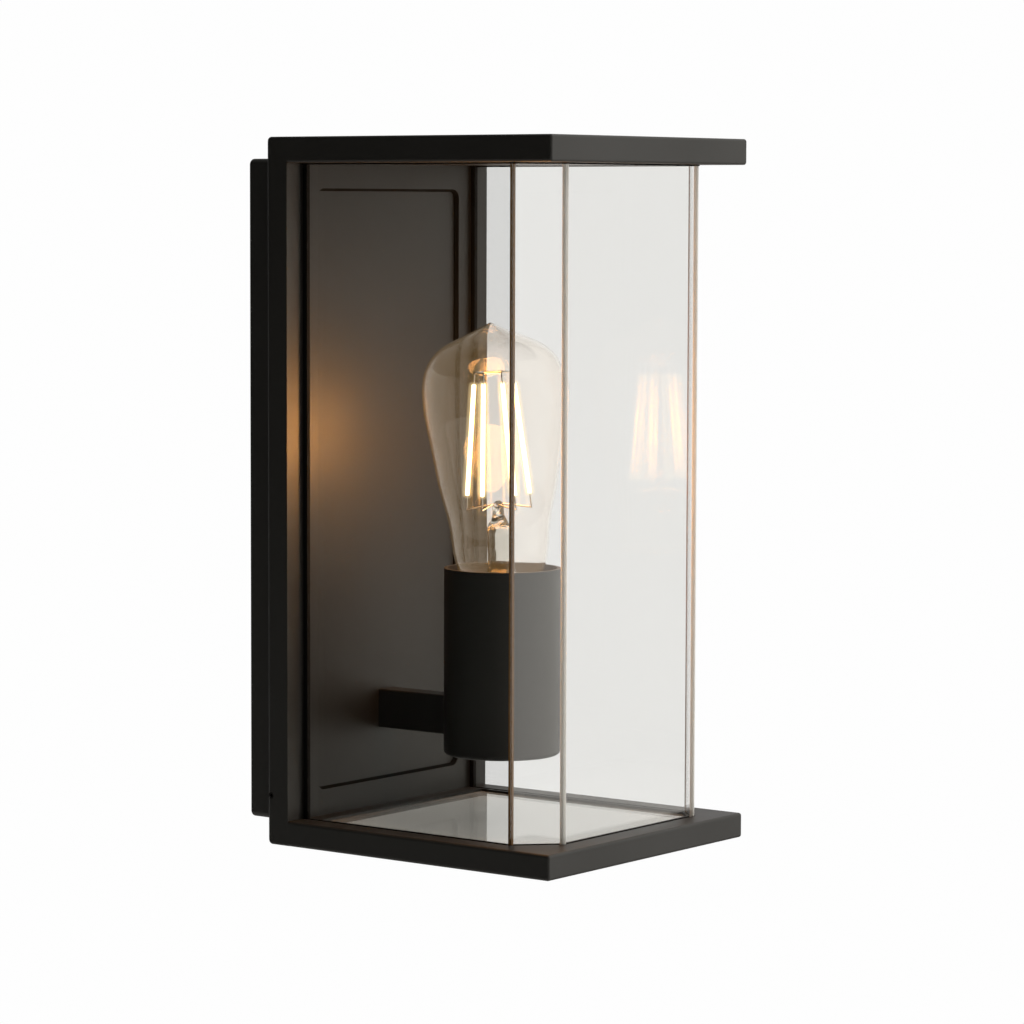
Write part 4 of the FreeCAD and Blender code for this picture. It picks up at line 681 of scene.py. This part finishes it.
def upright(name, outline, low, high):
    """A straight upright prism on an outline in plan."""
    form = bmesh.new()
    rings = [[form.verts.new((x, y, z)) for x, y in outline] for z in (low, high)]
    form.faces.new(rings[0])
    form.faces.new(rings[1])
    for i in range(len(outline)):
        j = (i + 1) % len(outline)
        form.faces.new((rings[0][i], rings[0][j], rings[1][j], rings[1][i]))
    return closed_mesh(name, form)


pane_glass = new_glass("clear_glass", tint=(0.9, 0.9, 0.89), film=(0.885, 0.885, 0.875),
                       shadow_tint=(0.985, 0.985, 0.975), ior=1.5, wave_scale=6, wave=0.01)
outer_path, inner_path = box_path(0), box_path(GLASS_THICK)
walls = cut_corners(outer_path, ARRIS) + cut_corners(inner_path, ARRIS / 2)[::-1]
glass_box = new_object("glass_box", upright("glass_box", walls, glass_low, glass_high), pane_glass)
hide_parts("pane_left", "pane_corner_left", "pane_front", "pane_corner_right",
            "pane_right")
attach(glass_box, "cage")

floor_glass = new_glass("floor_glass", tint=(0.95, 0.95, 0.93), film=(0.93, 0.93, 0.91),
                        shadow_tint=(0.9, 0.9, 0.89), ior=1.5, wave_scale=40, wave=0.02)
adjust(floor_glass, Transmission_Weight=0.6, Roughness=0.06)
dress(floor_glass, "base_pane")

# Painted shade, partly: the brown glue strips at the side seams also stand for the dark those seams
# show from light turned back inside the glass.
brown_glue_and_shade = new_finish("corner_adhesive", deep=(0.14, 0.07, 0.025), pale=(0.24, 0.125, 0.045),
                        wear_and_sheen_colour=(0.26, 0.14, 0.05), dull=0.7, shiny=0.55, grain_scale=300,
                        patch_scale=90, relief=0.05, rub_amount=0.1)
adjust(brown_glue_and_shade, Specular_IOR_Level=0.1)
# Painted highlight, partly: the pale glue strips at the front seams also stand for the light line
# that those seams reflect.
pale_glue_and_highlight = new_finish("clear_adhesive", deep=(0.72, 0.7, 0.66), pale=(0.82, 0.8, 0.76),
                        wear_and_sheen_colour=(0.85, 0.84, 0.8), dull=0.4, shiny=0.3, grain_scale=300,
                        patch_scale=90, relief=0.05, rub_amount=0.1)
adjust(pale_glue_and_highlight, Subsurface_Weight=1.0, Subsurface_Radius=(1, 1, 1), Subsurface_Scale=0.003)
for corner, joint, glue in ((1, "left_side", brown_glue_and_shade), (2, "left_front", pale_glue_and_highlight),
                            (3, "right_front", pale_glue_and_highlight), (4, "right_side", brown_glue_and_shade)):
    outside, inside = Vector(outer_path[corner]), Vector(inner_path[corner])
    along = (inside - outside) / GLASS_THICK
    across = Vector((-along.y, along.x)).normalized() * BOND_HALF
    near, far = along * BOND_INSET, along * (GLASS_THICK - BOND_INSET)
    strip = [outside + place
             for place in (near - across, near + across, far + across, far - across)]
    name = "corner_bond_" + joint
    column = upright(name, strip, glass_low + BOND_END, glass_high - BOND_END)
    bond = new_object(name, column, glue)
    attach(bond, "cage")

for side, hand in ((-1, "left"), (1, "right")):
    outer_x, inner_x = side * (box_half + TAPE_LIP), side * (box_half - GLASS_THICK - TAPE_LIP)
    tape_front = -glass_rear - TAPE_LIP
    end = [(outer_x, -box_rear), (inner_x, -box_rear), (inner_x, tape_front), (outer_x, tape_front)]
    name = "pane_end_" + hand
    tape = new_object(name, upright(name, end, glass_low, glass_high), dull_black)
    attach(tape, "cage")


# ---- size and end ----
# The finished model's box is found.
low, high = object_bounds()
